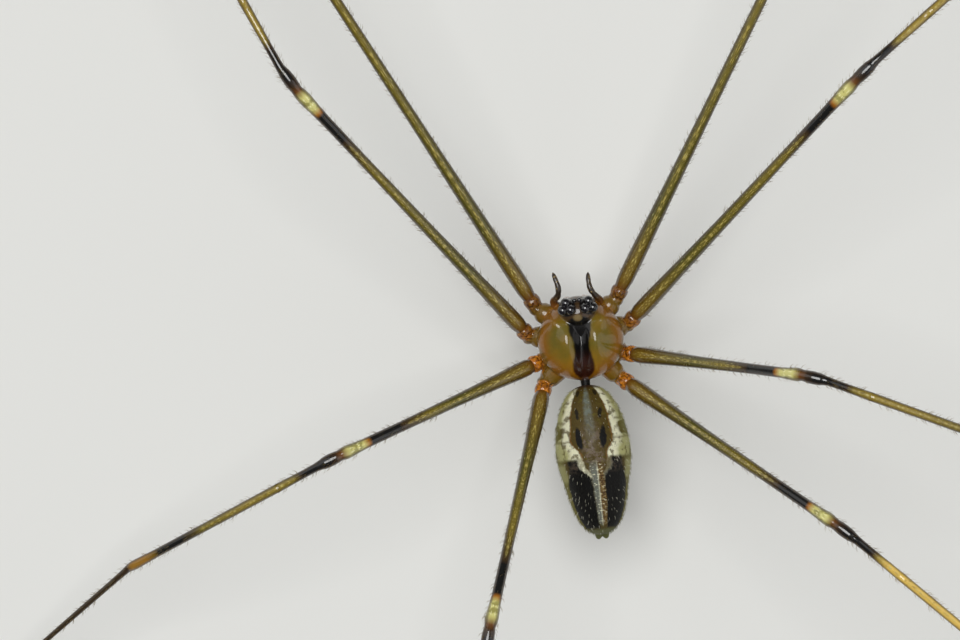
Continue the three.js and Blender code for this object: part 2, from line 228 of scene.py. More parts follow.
class SpiderStage(bpy.types.PropertyGroup):
    key_power: FloatProperty(
        name="Key power", description="Power of the main light", default=0.29, min=0, unit="POWER"
    )
    fill_power: FloatProperty(
        name="Fill power", description="Power of each side light", default=0.08, min=0, unit="POWER"
    )
    surround: FloatProperty(
        name="Surround", description="Strength of the light all round", default=0.12, min=0
    )
    camera_distance: length("Camera distance", "From the camera to the height of the hips", 120)
    camera_roll: FloatProperty(
        name="Camera roll",
        description="Turn of the picture round the view",
        default=math.radians(6.4),
        subtype="ANGLE",
    )
    lens: FloatProperty(
        name="Lens", description="Focal length of the camera", default=225, min=1, unit="CAMERA"
    )


PLAIN_NUMBERS = {"leg_hairs", "abdomen_hairs", "bright_hairs"}


def millimetres(context):
    """The sizes as plain numbers, each length in millimetres."""
    sizes = context.scene.spider_sizes
    plain = {}
    for name in SpiderSizes.__annotations__:
        value = getattr(sizes, name)
        plain[name] = value if name in PLAIN_NUMBERS else value / MM
    return SimpleNamespace(**plain)


# Shapes


class Form:
    """A mesh in the making: points, faces, and values that each point carries for the paint."""

    def __init__(self, points, faces, **values):
        self.points = np.asarray(points, dtype=float).reshape(-1, 3)
        self.faces = faces
        self.values = {name: np.asarray(value, dtype=float) for name, value in values.items()}

    def moved(self, move):
        """The same form with every point changed by a function of all the points."""
        return Form(move(self.points), self.faces, **self.values)


def joined(forms):
    """Several forms as one, which keeps the values that all of them carry."""
    names = [name for name in forms[0].values if all(name in form.values for form in forms)]
    faces = []
    start = 0
    for form in forms:
        faces += [tuple(corner + start for corner in face) for face in form.faces]
        start += len(form.points)
    values = {name: np.concatenate([form.values[name] for form in forms]) for name in names}
    return Form(np.concatenate([form.points for form in forms]), faces, **values)


def side_faces(rows, columns):
    """Faces with four corners between neighbouring rings of points."""
    faces = []
    for row in range(rows - 1):
        for column in range(columns):
            beside = (column + 1) % columns
            low = row * columns
            high = low + columns
            faces.append((low + column, low + beside, high + beside, high + column))
    return faces


def ring_faces(rows, columns):
    """Faces between rings of points, closed by a point at each end that follows the last ring."""
    faces = side_faces(rows, columns)
    last_ring = (rows - 1) * columns
    first_end = rows * columns
    last_end = first_end + 1
    for column in range(columns):
        beside = (column + 1) % columns
        faces.append((beside, column, first_end))
        faces.append((last_ring + column, last_ring + beside, last_end))
    return faces


def unit(vectors):
    """The vectors at a length of 1."""
    vectors = np.asarray(vectors, dtype=float)
    return vectors / np.maximum(np.linalg.norm(vectors, axis=-1, keepdims=True), 1e-12)


def ball(rows=40, columns=64):
    """A unit ball whose poles lie along Y, as points to be reshaped."""
    polar = np.linspace(0, math.pi, rows + 2)[1:-1]
    around = np.linspace(0, 2 * math.pi, columns, endpoint=False)
    p, a = np.meshgrid(polar, around, indexing="ij")
    ring = np.stack([np.sin(p) * np.sin(a), -np.cos(p), np.sin(p) * np.cos(a)], axis=-1).reshape(-1, 3)
    points = np.concatenate([ring, [(0, -1, 0), (0, 1, 0)]])
    return Form(points, ring_faces(rows, columns))


def ellipsoid(centre, radii, rows=24, columns=32):
    """A ball stretched to its radii along X, Y and Z."""
    return ball(rows, columns).moved(lambda p: p * np.array(radii) + np.array(centre))


def mirrored(centre, radii):
    """An ellipsoid on the left and its mirror image on the right."""
    x, y, z = centre
    return [ellipsoid((side * x, y, z), radii) for side in SIDES.values()]


def on_side(side, places):
    """Places given as outward, ahead and height, on the left or the right side."""
    return [(side * out, -ahead, height) for out, ahead, height in places]


def path_frames(path, upward):
    """The direction of a path at each point, with two directions square to it, the first the upward one."""
    along = unit(np.gradient(path, axis=0))
    up = np.broadcast_to(np.asarray(upward, dtype=float), path.shape)
    up = unit(up - along * (up * along).sum(axis=1, keepdims=True))
    return along, up, np.cross(along, up)


def folded(turn):
    """A turn round a limb as 0 on top and 1 below on both sides, so that it has no seam."""
    return 1 - np.abs(1 - 2 * turn)


def tube(path, radii, sides=16, upward=(0, 0, 1), flatness=1.0, **values):
    """A round skin along a path; flatness scales its width across the upward direction."""
    path = np.asarray(path, dtype=float)
    radii = np.asarray(radii, dtype=float)
    _, up, beside = path_frames(path, upward)
    around = np.linspace(0, 2 * math.pi, sides, endpoint=False)
    upwards = np.cos(around)[None, :, None] * up[:, None]
    sideways = flatness * np.sin(around)[None, :, None] * beside[:, None]
    rings = (path[:, None] + radii[:, None, None] * (upwards + sideways)).reshape(-1, 3)
    points = np.concatenate([rings, path[:1], path[-1:]])
    turn = np.concatenate([np.tile(folded(around / (2 * math.pi)), len(path)), [0, 0]])
    carried = {"turn": turn}
    for name, value in values.items():
        value = np.broadcast_to(np.asarray(value, dtype=float), (len(path),))
        carried[name] = np.concatenate([np.repeat(value, sides), value[:1], value[-1:]])
    return Form(points, ring_faces(len(path), sides), **carried)


def bent_path(corners, steps):
    """A smooth path through a few points, as a Catmull-Rom curve."""
    corners = np.asarray(corners, dtype=float)
    ends = np.concatenate([[2 * corners[0] - corners[1]], corners, [2 * corners[-1] - corners[-2]]])
    stations = np.linspace(0, len(corners) - 1, steps)
    path = []
    for station in stations:
        i = min(int(station), len(corners) - 2)
        t = station - i
        a, b, c, d = ends[i : i + 4]
        path.append(
            0.5 * (2 * b + (c - a) * t + (2 * a - 5 * b + 4 * c - d) * t**2 + (3 * b - a - 3 * c + d) * t**3)
        )
    return np.array(path)


def rounded(radii, times=2):
    """Radii with their corners eased."""
    for _ in range(times):
        radii[1:-1] = (radii[:-2] + 2 * radii[1:-1] + radii[2:]) / 4
    return radii


def outlined(outline, steps):
    """Radii at even steps along a path, from a list of shares of its length and radii."""
    shares, radii = zip(*outline)
    return np.interp(np.linspace(0, 1, steps), shares, radii)


def swept(corners, outline, steps, sides, easing=0, span=(0, 1), **shape):
    """A tube along a smooth path through a few points; span is what its ends carry as their place along."""
    radii = rounded(outlined(outline, steps), easing)
    return tube(bent_path(corners, steps), radii, sides, along=np.linspace(*span, steps), **shape)


def smooth_step(low, high, value):
    """0 at low and 1 at high, eased between them."""
    share = np.clip((np.asarray(value, dtype=float) - low) / (high - low), 0, 1)
    return share * share * (3 - 2 * share)


def hill(x, y, height, middle, spread):
    """A rounded hill over a place, from its height, its middle and its spread along X and Y."""
    return height * np.exp(-(((x - middle[0]) / spread[0]) ** 2) - ((y - middle[1]) / spread[1]) ** 2)


def roughened(points, depth, scale, seed=0):
    """Points pushed in and out at random, by up to about depth, in bumps about 1 / scale across."""
    shift = Vector((seed * 17.3, seed * 5.1, 0))
    return np.array([noise.noise(Vector(p) * scale + shift) for p in points]) * depth


def fused(forms, grain, softness):
    """Overlapping closed forms as one smooth closed skin."""
    whole = joined([Form(form.points, form.faces) for form in forms])
    mesh = bpy.data.meshes.new("fusing")
    mesh.from_pydata(whole.points.tolist(), [], whole.faces)
    carrier = bpy.data.objects.new("fusing", mesh)
    bpy.context.collection.objects.link(carrier)
    remesh = carrier.modifiers.new("cells", "REMESH")
    remesh.mode = "VOXEL"
    remesh.voxel_size = grain
    relax = carrier.modifiers.new("relax", "SMOOTH")
    relax.factor = 0.5
    relax.iterations = softness
    result = bpy.data.meshes.new_from_object(carrier.evaluated_get(bpy.context.evaluated_depsgraph_get()))
    points = np.empty(len(result.vertices) * 3)
    result.vertices.foreach_get("co", points)
    faces = [tuple(face.vertices) for face in result.polygons]
    bpy.data.objects.remove(carrier)
    bpy.data.meshes.remove(mesh)
    bpy.data.meshes.remove(result)
    return Form(points, faces)


def add_piece(context, name, form, material, replaced=()):
    """Adds a form to the scene as a piece that rides on the spider."""
    mesh = bpy.data.meshes.new(name)
    mesh.from_pydata((form.points * MM + np.array(ORIGIN)).tolist(), [], form.faces)
    for value_name, values in form.values.items():
        kind, field = ("FLOAT_VECTOR", "vector") if values.ndim == 2 else ("FLOAT", "value")
        carried = mesh.attributes.new(value_name, kind, "POINT")
        carried.data.foreach_set(field, values.astype(np.float32).ravel())
    mesh.validate()
    mesh.shade_smooth()
    mesh.materials.append(material)
    piece = bpy.data.objects.new(name, mesh)
    context.collection.objects.link(piece)
    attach(piece, "root")
    if replaced:
        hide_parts(*replaced)
    return piece


# Legs


def direction(side, heading, rise):
    """The way that a heading outward from straight ahead and a rise above level point, in degrees."""
    h = math.radians(heading)
    r = math.radians(rise)
    return np.array([side * math.sin(h) * math.cos(r), -math.cos(h) * math.cos(r), math.sin(r)])


def rise_to(from_height, to_height, reach):
    """The rise in degrees that brings a straight segment from one height to another."""
    return math.degrees(math.asin((to_height - from_height) / reach))


def leg_joints(pair, pose, side):
    """The six joints of a leg, from the hip to the tip."""
    femur_heading, femur_rise = pose["femur"]
    tibia_heading, tibia_rise = pose["tibia"]
    hip = np.array([side * pair["hip"][0], pair["hip"][1], HIP_HEIGHT])
    knee = hip + direction(side, femur_heading, femur_rise) * pair["femur"]
    bend = direction(side, (femur_heading + tibia_heading) / 2, (femur_rise + tibia_rise) / 2)
    shin = knee + bend * pair["patella"]
    ankle = shin + direction(side, tibia_heading, tibia_rise) * pair["tibia"]
    foot_rise = rise_to(ankle[2], HEEL_HEIGHT, pair["metatarsus"])
    heel = ankle + direction(side, pose["foot"], foot_rise) * pair["metatarsus"]
    toe_rise = rise_to(HEEL_HEIGHT, TOE_HEIGHT, pair["tarsus"])
    toe = heel + direction(side, pose["foot"], toe_rise) * pair["tarsus"]
    return [hip, knee, shin, ankle, heel, toe]


def each_leg():
    """The name, joints and paleness of every leg."""
    for side_name, side in SIDES.items():
        for number, (pair, pose) in enumerate(zip(LEG_PAIRS, POSE[side_name]), 1):
            yield f"leg_{side_name}_{number}", leg_joints(pair, pose, side), pose["paleness"]


def marked_share(segment, reach, share):
    """The share of a segment's length as its marks see it, so that rings near its ends keep their size."""
    if segment not in USUAL_LENGTHS:
        return share
    end = MARKED_ENDS / USUAL_LENGTHS[segment]
    stops = [0, MARKED_ENDS, reach - MARKED_ENDS, reach]
    return float(np.interp(share * reach, stops, [0, end, 1 - end, 1]))


def leg_line(joints):
    """A leg's middle line, with its radius and its place along, where each segment counts as 1."""
    path = [joints[0] - unit(joints[1] - joints[0]) * FEMUR_IN_RING]
    radii = [FEMUR_ROOT_RADIUS]
    along = [0.0]
    for i, (segment, outline, steps) in enumerate(SEGMENTS):
        start, end = joints[i : i + 2]
        reach = np.linalg.norm(end - start)
        bow = BOW if segment in BOWED else 0
        shares, widths = zip(*outline)
        stations = np.unique(np.concatenate([np.linspace(0, 1, steps), shares]))
        if i:
            stations = stations[1:]
        for share in stations:
            point = start + (end - start) * share
            point[2] += 4 * bow * reach * share * (1 - share)
            path.append(point)
            radii.append(float(np.interp(share, shares, widths)))
            along.append(i + marked_share(segment, reach, share))
    return np.array(path), rounded(np.array(radii)), np.array(along)


# Paint


class Value:
    """A number in a shader, on which maths is written as plain expressions."""

    def __init__(self, paint, socket):
        self.paint = paint
        self.socket = socket

    def __add__(self, other):
        return self.paint.maths("ADD", self, other)

    def __sub__(self, other):
        return self.paint.maths("SUBTRACT", self, other)

    def __mul__(self, other):
        return self.paint.maths("MULTIPLY", self, other)

    def __truediv__(self, other):
        return self.paint.maths("DIVIDE", self, other)

    def __pow__(self, other):
        return self.paint.maths("POWER", self, other)

    def __rsub__(self, other):
        return self.paint.maths("SUBTRACT", other, self)

    def __abs__(self):
        return self.paint.maths("ABSOLUTE", self)

    __radd__ = __add__
    __rmul__ = __mul__

    def most(self, other):
        return self.paint.maths("MAXIMUM", self, other)

    def least(self, other):
        return self.paint.maths("MINIMUM", self, other)

    def step(self, low, high):
        """0 below low and 1 above high, eased between them."""
        return self.paint.node(
            "ShaderNodeMapRange",
            {"interpolation_type": "SMOOTHSTEP"},
            {"Value": self, "From Min": low, "From Max": high},
        )

    def near(self, centre, half_width, softness):
        """1 within half_width of centre, falling to 0 over the softness beyond it."""
        return 1 - abs(self - centre).step(half_width - softness / 2, half_width + softness / 2)


SOCKET_NAMES = {"specular_ior_level": "Specular IOR Level", "coat_ior": "Coat IOR"}
# A Mix node's sockets for colours, by number because it has several of each name.
MIX_SHARE = 0
MIX_FIRST = 6
MIX_SECOND = 7
MIX_RESULT = 2


class Paint:
    """A material and its nodes."""

    def __init__(self, name):
        self.material = bpy.data.materials.new(name)
        self.material.use_nodes = True
        self.tree = self.material.node_tree
        self.tree.nodes.clear()

    def node(self, kind, settings=None, sockets=None, output=0):
        """Adds a node: its settings first, then the values or links of its sockets."""
        node = self.tree.nodes.new(kind)
        for name, setting in (settings or {}).items():
            if name == "stops":
                set_stops(node.color_ramp, setting)
            else:
                setattr(node, name, setting)
        for name, value in (sockets or {}).items():
            if isinstance(value, Value):
                self.tree.links.new(value.socket, node.inputs[name])
            else:
                node.inputs[name].default_value = value
        return Value(self, node.outputs[output]) if node.outputs else None

    def maths(self, operation, *numbers):
        """A Math node on numbers and values."""
        return self.node("ShaderNodeMath", {"operation": operation}, dict(enumerate(numbers)))

    def carried(self, name, output="Fac"):
        """A value that the mesh's points carry."""
        return self.node("ShaderNodeAttribute", {"attribute_name": name}, output=output)

    def place(self):
        """The place on the spider that the mesh's points carry."""
        return self.carried("place", "Vector")

    def apart(self, place):
        """A place as three numbers."""
        x = self.node("ShaderNodeSeparateXYZ", sockets={"Vector": place})
        return [Value(self, output) for output in x.socket.node.outputs]

    def vector(self, x, y, z):
        """Three numbers as a place."""
        return self.node("ShaderNodeCombineXYZ", sockets={"X": x, "Y": y, "Z": z})

    def mottle(self, place, scale, detail=3.0, roughness=0.55):
        """Soft noise from 0 to 1."""
        sockets = {"Vector": place, "Scale": scale, "Detail": detail, "Roughness": roughness}
        return self.node("ShaderNodeTexNoise", sockets=sockets, output="Fac")

    def crackle(self, place, scale):
        """Distance from the nearest of the lines between irregular cells."""
        settings = {"feature": "DISTANCE_TO_EDGE"}
        return self.node("ShaderNodeTexVoronoi", settings, {"Vector": place, "Scale": scale}, "Distance")

    def mix(self, share, first, second):
        """From the first colour to the second."""
        first, second = [c if isinstance(c, Value) else (*c, 1.0) for c in (first, second)]
        sockets = {MIX_SHARE: share, MIX_FIRST: first, MIX_SECOND: second}
        return self.node("ShaderNodeMix", {"data_type": "RGBA"}, sockets, MIX_RESULT)

    def bands(self, share, stops):
        """A colour that changes along a line, from a list of places and colours."""
        return self.node("ShaderNodeValToRGB", {"stops": stops}, {"Fac": share}, "Color")

    def finish(self, shade, roughness, bump=None, bump_depth=0.0, **constants):
        """Ends the material with a glossy surface; constants are numbers on its own sockets."""
        sockets = {"Base Color": shade, "Roughness": roughness}
        if bump is not None:
            relief = {"Strength": 1.0, "Distance": bump_depth * MM, "Height": bump}
            sockets["Normal"] = self.node("ShaderNodeBump", sockets=relief)
        for name, value in constants.items():
            sockets[SOCKET_NAMES.get(name, name.replace("_", " ").title())] = value
        surface = self.node("ShaderNodeBsdfPrincipled", {"subsurface_method": "RANDOM_WALK"}, sockets)
        self.node("ShaderNodeOutputMaterial", sockets={"Surface": surface})
        return self.material


def set_stops(ramp, stops):
    """Gives a colour ramp its places and colours; a new ramp has two stops already."""
    for i, (place, shade) in enumerate(stops):
        element = ramp.elements[i] if i < 2 else ramp.elements.new(place)
        element.position = place
        element.color = (*shade, 1.0)


def oval(across, along, roughness, inner, outer):
    """1 inside an oval and 0 outside, from distances off its middle as shares of its half sizes."""
    return 1 - (across**2 + along**2 + roughness).step(inner, outer)


def shades(context):
    """The colours as plain tuples."""
    colours = context.scene.spider_colours
    return SimpleNamespace(**{name: tuple(getattr(colours, name)) for name in SpiderColours.__annotations__})


def carapace_values(paint):
    """The values that the carapace's markings are drawn from."""
    place = paint.place()
    x, y, z = paint.apart(place)
    wander = paint.mottle(place, 5.0) - 0.5
    return SimpleNamespace(place=place, x=x, y=y, z=z, wide=abs(x), hip=paint.carried("hip"), wander=wander)


def dome_shade(paint, c, s, at):
    """Olive lobes, an amber rear and an orange-brown rim, up to the legs' roots."""
    reach = ((at.x / s.thorax_half_width) ** 2 + (at.y / s.thorax_half_length) ** 2) ** 0.5
    lobe = paint.mix((at.y + at.wander * 0.3).step(0.05, 0.7), c.lobe, c.amber)
    lobe = paint.mix(paint.mottle(at.place, 2.2).step(0.35, 0.75) * 0.4, lobe, c.amber)
    shade = paint.mix((reach + at.wander * 0.12).step(0.62, 0.92), lobe, c.margin)
    shade = paint.mix((at.hip + at.wander * 0.1).step(0.55, 0.4), shade, c.coxa)
    ring = paint.mix((at.y + at.wander * 0.2).step(-0.5, 0.2), c.front_hip, c.rear_hip)
    ring = paint.mix(paint.mottle(at.place, 14.0).step(0.42, 0.62) * 0.7, ring, c.ring_shade)
    return paint.mix((at.hip + at.wander * 0.1).step(0.31, 0.22), shade, ring)


def band_marks(paint, c, shade, at):
    """The black band along the middle, which narrows to the rear and turns red-brown."""
    y = at.y
    half_band = 0.23 - 0.07 * y.step(-0.25, 0.05) + 0.06 * y.step(0.2, 0.5) - 0.13 * y.step(0.58, 0.8)
    band = (half_band - at.wide + at.wander * 0.06).step(-0.025, 0.035) * at.z.step(3.1, 3.25)
    band_shade = paint.mix((y + at.wander * 0.2).step(0.15, 0.5), c.band, c.band_rear)
    return paint.mix(band * y.step(-0.42, -0.3), shade, band_shade)


def head_marks(paint, c, shade, at):
    """The brown crown, the black round and behind the eyes, and the pale spot."""
    y = at.y
    wide = at.wide
    upper = at.z.step(3.4, 3.5).most((y * -1.0).step(0.72, 0.8))
    crown = oval(wide / 0.37, (y + 0.62) / 0.31, at.wander * 0.3, 0.75, 1.2)
    shade = paint.mix(crown * upper, shade, c.crown)
    round_eyes = oval((wide - 0.225) / 0.185, (y + 0.69) / 0.2, at.wander * 0.3, 0.8, 1.2)
    behind_eyes = oval(wide / 0.24, (y + 0.36) / 0.12, at.wander * 0.4, 0.6, 1.2)
    shade = paint.mix(round_eyes.most(behind_eyes) * upper, shade, c.band)
    spot = oval((at.x - 0.02) / 0.1, (y + 0.45) / 0.075, at.wander * 0.8, 0.0, 1.3)
    return paint.mix(spot * 0.85, shade, c.head_spot)


def carapace_paint(context):
    """The glossy skin of the head and thorax, with knobs on the legs' roots."""
    c = shades(context)
    paint = Paint("carapace_cuticle")
    at = carapace_values(paint)
    shade = dome_shade(paint, c, millimetres(context), at)
    shade = band_marks(paint, c, shade, at)
    shade = head_marks(paint, c, shade, at)
    # The waist behind the carapace is painted as black as the band and has no coat: its own dark colour,
    # deepened as painted shade in the gap between carapace and abdomen.
    dark_waist_and_shade = at.y.step(0.74, 0.82) * (0.25 - at.wide).step(0.0, 0.05)
    shade = paint.mix(dark_waist_and_shade, shade, c.band)

    grain = paint.mottle(at.place, 26.0, 4.0, 0.6) + 0.4 * paint.mottle(at.place, 90.0)
    knobs = paint.crackle(at.place, 8.0).step(0.0, 0.3) * at.hip.step(0.38, 0.24)
    roughness = 0.34 + 0.15 * paint.mottle(at.place, 12.0)
    return paint.finish(
        shade, roughness, grain + 7.0 * knobs, 0.006, coat_weight=1 - dark_waist_and_shade, coat_roughness=0.09,
        specular_ior_level=0.15, subsurface_weight=0.12, subsurface_scale=0.12 * MM,
        subsurface_radius=(1.0, 0.75, 0.4),
    )


STREAKS = (
    # share of the length, half length, place off the top, half width, darkness
    (0.05, 0.02, 0.3, 0.07, 0.8),
    (0.185, 0.04, 0.25, 0.045, 0.85),
    (0.345, 0.075, 0.22, 0.06, 1.0),
)


def abdomen_values(paint):
    """The values that the abdomen's markings are drawn from: off is off the top and far is from the front."""
    place = paint.place()
    x, y, _ = paint.apart(place)
    back = paint.carried("back")
    wander = paint.mottle(place, 4.0) - 0.5
    fine = paint.mottle(place, 15.0, 3.0) - 0.5
    off = paint.carried("off_top") + wander * 0.08 + fine * 0.05
    far = back + wander * 0.03 + fine * 0.02
    speckle = paint.mottle(place, 11.0, 4.0).step(0.42, 0.6)
    return SimpleNamespace(place=place, x=x, y=y, back=back, fine=fine, off=off, far=far, speckle=speckle)


def ground_shade(paint, c, at):
    """The brown middle, the yellow-olive flanks and the grey stripe from the front."""
    shade = paint.mix(at.off.step(0.55, 0.8), c.brown, c.flank)
    dusk = (0.2 - at.off).step(-0.05, 0.1) * at.far.near(0.42, 0.12, 0.16) * at.speckle
    shade = paint.mix(dusk, shade, c.dusk)
    heart = (0.075 - at.off).step(-0.05, 0.04) * (1 - at.far.step(0.12, 0.42)) * (0.55 + 0.45 * at.speckle)
    shade = paint.mix(heart, shade, c.grey)
    return paint.mix(at.fine.step(0.0, 0.25) * 0.4, shade, c.flank)


def white_bands(paint, c, shade, at):
    """The broken white band on each side of the front half, with its rust edge."""
    off = at.off
    far = at.far
    inner = 0.4 + 0.03 * far.near(0.2, 0.01, 0.05) - 0.17 * far.step(0.35, 0.46)
    outer = 1.0 - 0.42 * far.near(0.3, 0.05, 0.05) - 0.2 * far.step(0.4, 0.47)
    white = (off - inner).step(-0.02, 0.04) * (outer - off).step(-0.06, 0.06) * far.step(0.0, 0.03)
    gaps = far.near(0.362, 0.004, 0.03) + far.near(0.235, 0.004, 0.03) * off.step(0.48, 0.56)
    gaps = gaps + far.near(0.13, 0.002, 0.03) * off.step(0.5, 0.6) * 0.8
    blotch = paint.mottle(at.place, 7.0, 3.0).step(0.37, 0.5)
    white = white * (1 - far.step(0.47, 0.5)) * (1 - gaps.least(1.0)) * (0.2 + 0.8 * blotch)
    shade = paint.mix(white, shade, paint.mix((off - inner).step(0.12, 0.3), c.white, c.cream))
    edge = (off - inner).near(-0.01, 0.012, 0.04) * far.near(0.3, 0.2, 0.06)
    shade = paint.mix(edge * 0.6, shade, c.rust)
    pale_flank = far.near(0.57, 0.06, 0.04) * (off - 0.6).step(-0.03, 0.06) * (0.95 - off).step(-0.05, 0.1)
    return paint.mix(pale_flank * 0.6, shade, c.cream)


def dark_streaks(paint, c, shade, at):
    """Slanted black streaks beside the grey stripe."""
    for centre, half_length, middle, half_width, darkness in STREAKS:
        lean = at.off - middle + (at.far - centre) * 0.5
        streak = ((lean / half_width) ** 2 + ((at.far - centre) / half_length) ** 2).step(1.25, 0.55)
        shade = paint.mix(streak * darkness, shade, c.black)
    return shade


def black_patches(paint, c, shade, at):
    """The black patch on each side of the rear half, with a pale comma at its inner edge."""
    off = at.off
    far = at.far
    inner = 0.29 - 0.17 * far.step(0.52, 0.62)
    outer = 0.53 + 0.2 * far.step(0.52, 0.7)
    black = (off - inner).step(-0.02, 0.03) * (outer - off).step(-0.03, 0.04)
    black = black * far.step(0.465, 0.5) * (1 - far.step(0.94, 0.97))
    shade = paint.mix(black, shade, c.black)
    shade = paint.mix(black * far.near(0.53, 0.04, 0.05) * at.speckle * 0.4, shade, c.dusk)
    comma = (off - 0.26 + 0.17 * far.step(0.53, 0.63)).near(0.0, 0.05, 0.04) * far.near(0.55, 0.065, 0.03)
    left_more = 0.15 + 0.75 * at.x.step(-0.02, 0.04)
    return paint.mix(comma * left_more * (0.5 + 0.5 * at.speckle), shade, c.white)


def rear_stripe(paint, c, shade, at):
    """The pale stripe between the black patches: cool on one side, and crossed by dark rungs."""
    stripe = (0.12 - at.off).step(-0.03, 0.03) * at.far.step(0.48, 0.56) * (1 - at.far.step(0.9, 0.95))
    rungs = paint.mottle(paint.vector(at.x * 14.0, at.y * 30.0, 0.0), 1.0, 2.0)
    cool = at.x.step(-0.06, -0.02)
    pale = paint.mix(cool, c.ladder, c.grey)
    pale = paint.mix(cool * at.x.near(-0.035, 0.012, 0.03), pale, c.white)
    dark = paint.mix(cool, c.band_rear, c.dusk)
    pale = paint.mix(rungs.step(0.44, 0.56) * (0.8 - 0.45 * cool), pale, dark)
    pale = paint.mix(rungs.step(0.4, 0.34), pale, c.white)
    return paint.mix(stripe, shade, pale)


def abdomen_shade(paint, c):
    """The abdomen's markings, and the place that they are drawn on."""
    at = abdomen_values(paint)
    shade = ground_shade(paint, c, at)
    for marks in (white_bands, dark_streaks, black_patches, rear_stripe):
        shade = marks(paint, c, shade, at)
    ends = at.back + at.fine * 0.02
    shade = paint.mix(ends.step(0.945, 0.975) * 0.85, shade, c.tip)
    shade = paint.mix(ends.step(0.035, 0.0) * 0.8, shade, c.band_rear)
    return shade, at.place


def abdomen_paint(context):
    """The abdomen's soft skin."""
    paint = Paint("abdomen_cuticle")
    shade, place = abdomen_shade(paint, shades(context))
    grain = paint.mottle(place, 22.0, 4.0, 0.6) + 0.5 * paint.crackle(place, 14.0)
    roughness = 0.5 + 0.15 * paint.mottle(place, 9.0)
    return paint.finish(
        shade, roughness, grain, 0.014, coat_weight=0.1, coat_roughness=0.3, specular_ior_level=0.15,
        subsurface_weight=0.1, subsurface_scale=0.12 * MM, subsurface_radius=(1.0, 0.8, 0.4),
    )


def abdomen_hair_paint(context):
    """Hairs in the colour of the skin at their root, some of them bright."""
    c = shades(context)
    paint = Paint("abdomen_hair")
    shade, _ = abdomen_shade(paint, c)
    shade = paint.mix(0.03 + 0.8 * paint.carried("bright"), shade, c.down)
    return paint.finish(shade, 0.6, specular_ior_level=0.2)


# Where the tones meet along a leg, on which each segment counts as 1: a list for each of three stretches.
LEG_BANDS = (
    (
        (0.0, "leg_rust"), (0.03, "leg_base"), (0.25, "leg_olive"), (0.66, "leg_gold"), (0.79, "leg_dark"),
        (0.803, "leg_black"), (0.9, "leg_black"), (0.91, "leg_orange"), (0.93, "leg_pale"),
        (0.978, "leg_pale"), (1.0, "leg_rust"),
    ),
    (
        (1.0, "leg_rust"), (1.2, "leg_dark"), (1.5, "leg_black"), (2.065, "leg_black"), (2.085, "leg_dark"),
        (2.12, "leg_gold"), (2.4, "leg_gold"), (2.6, "leg_olive"), (2.635, "leg_black"), (2.83, "leg_black"),
        (2.85, "leg_base"), (2.9, "leg_tan"), (2.975, "leg_tan"), (3.0, "leg_dark"),
    ),
    ((3.0, "leg_dark"), (3.08, "foot_brown"), (5.0, "foot_dark")),
)


def banded_shade(paint, c, along, drift):
    """The rings of a leg; one ramp for the whole leg would be too coarse, so each stretch has its own."""
    shade = None
    for stops in LEG_BANDS:
        start = stops[0][0]
        reach = stops[-1][0] - start
        tones = [((at - start) / reach, getattr(c, tone)) for at, tone in stops]
        part = paint.bands((along + drift * 0.01 - start) / reach, tones)
        if shade is None:
            shade = part
        else:
            shade = paint.mix(paint.maths("GREATER_THAN", along, start), shade, part)
    return shade


def leg_shade(paint, c):
    """The leg's rings and streaks, with painted shade down its sides, a painted highlight line along its top
    and broken painted glints, from its place along and round.
    """
    along = paint.carried("along")
    turn = paint.carried("turn")
    place = paint.place()
    drift = paint.mottle(place, 3.0) - 0.5
    shade = banded_shade(paint, c, along, drift)
    straw = paint.carried("paleness") * along.near(2.4, 0.27, 0.1)
    shade = paint.mix(straw, shade, c.straw)

    streak = paint.mottle(paint.vector(turn * 4.5, along * 1.5, 0.0), 3.0) - 0.5
    dashes = paint.mottle(paint.vector(turn * 15.0, along * 60.0, 0.0), 1.0, 2.0)
    pale_ring = along.near(0.95, 0.024, 0.02)
    glassy = pale_ring * paint.mottle(place, 8.0, 1.0).step(0.44, 0.56)
    shade = paint.mix(glassy * 0.65, shade, c.ring_glass)
    shade = paint.mix(pale_ring * dashes.step(0.54, 0.62) * 0.8, shade, c.ring_glint)

    unringed = along.near(0.4, 0.37, 0.06).most(along.near(2.35, 0.25, 0.06))
    # Painted shade: the leg darkens down both sides, away from its top and its underside.
    flank = paint.maths("SINE", turn * math.pi)
    shade = paint.mix((flank + streak * 0.5).step(0.4, 0.85) * 0.7, shade, c.leg_dark)
    shade = paint.mix((streak + drift).step(0.12, 0.4) * 0.4, shade, c.leg_gold)
    shade = paint.mix(unringed * dashes.step(0.43, 0.33) * 0.4, shade, c.leg_dark)
    # Painted highlight: a broken pale line along the top of the leg, away from its rings.
    top_highlight = (turn + streak * 0.08).step(0.15, 0.05) * unringed
    shade = paint.mix(top_highlight * (0.12 + 0.55 * dashes.step(0.5, 0.6)), shade, c.leg_ridge)
    glints = unringed * dashes.step(0.64, 0.69) * turn.step(0.6, 0.4)
    shade = paint.mix(glints * 0.6, shade, c.leg_glint)
    return shade, place, along, turn


def leg_paint(context):
    """The legs' glossy skin, with fine scales across."""
    paint = Paint("leg_cuticle")
    shade, place, along, turn = leg_shade(paint, shades(context))
    scales = paint.mottle(paint.vector(turn * 7.0, along * 120.0, 0.0), 1.0, 3.0)
    grain = scales + 0.5 * paint.mottle(place, 60.0)
    roughness = 0.3 + 0.2 * paint.mottle(place, 20.0)
    return paint.finish(
        shade, roughness, grain, 0.002, coat_weight=1.0, coat_roughness=0.1, coat_ior=1.6,
        specular_ior_level=0.15, subsurface_weight=0.1, subsurface_scale=0.08 * MM,
        subsurface_radius=(1.0, 0.75, 0.4),
    )


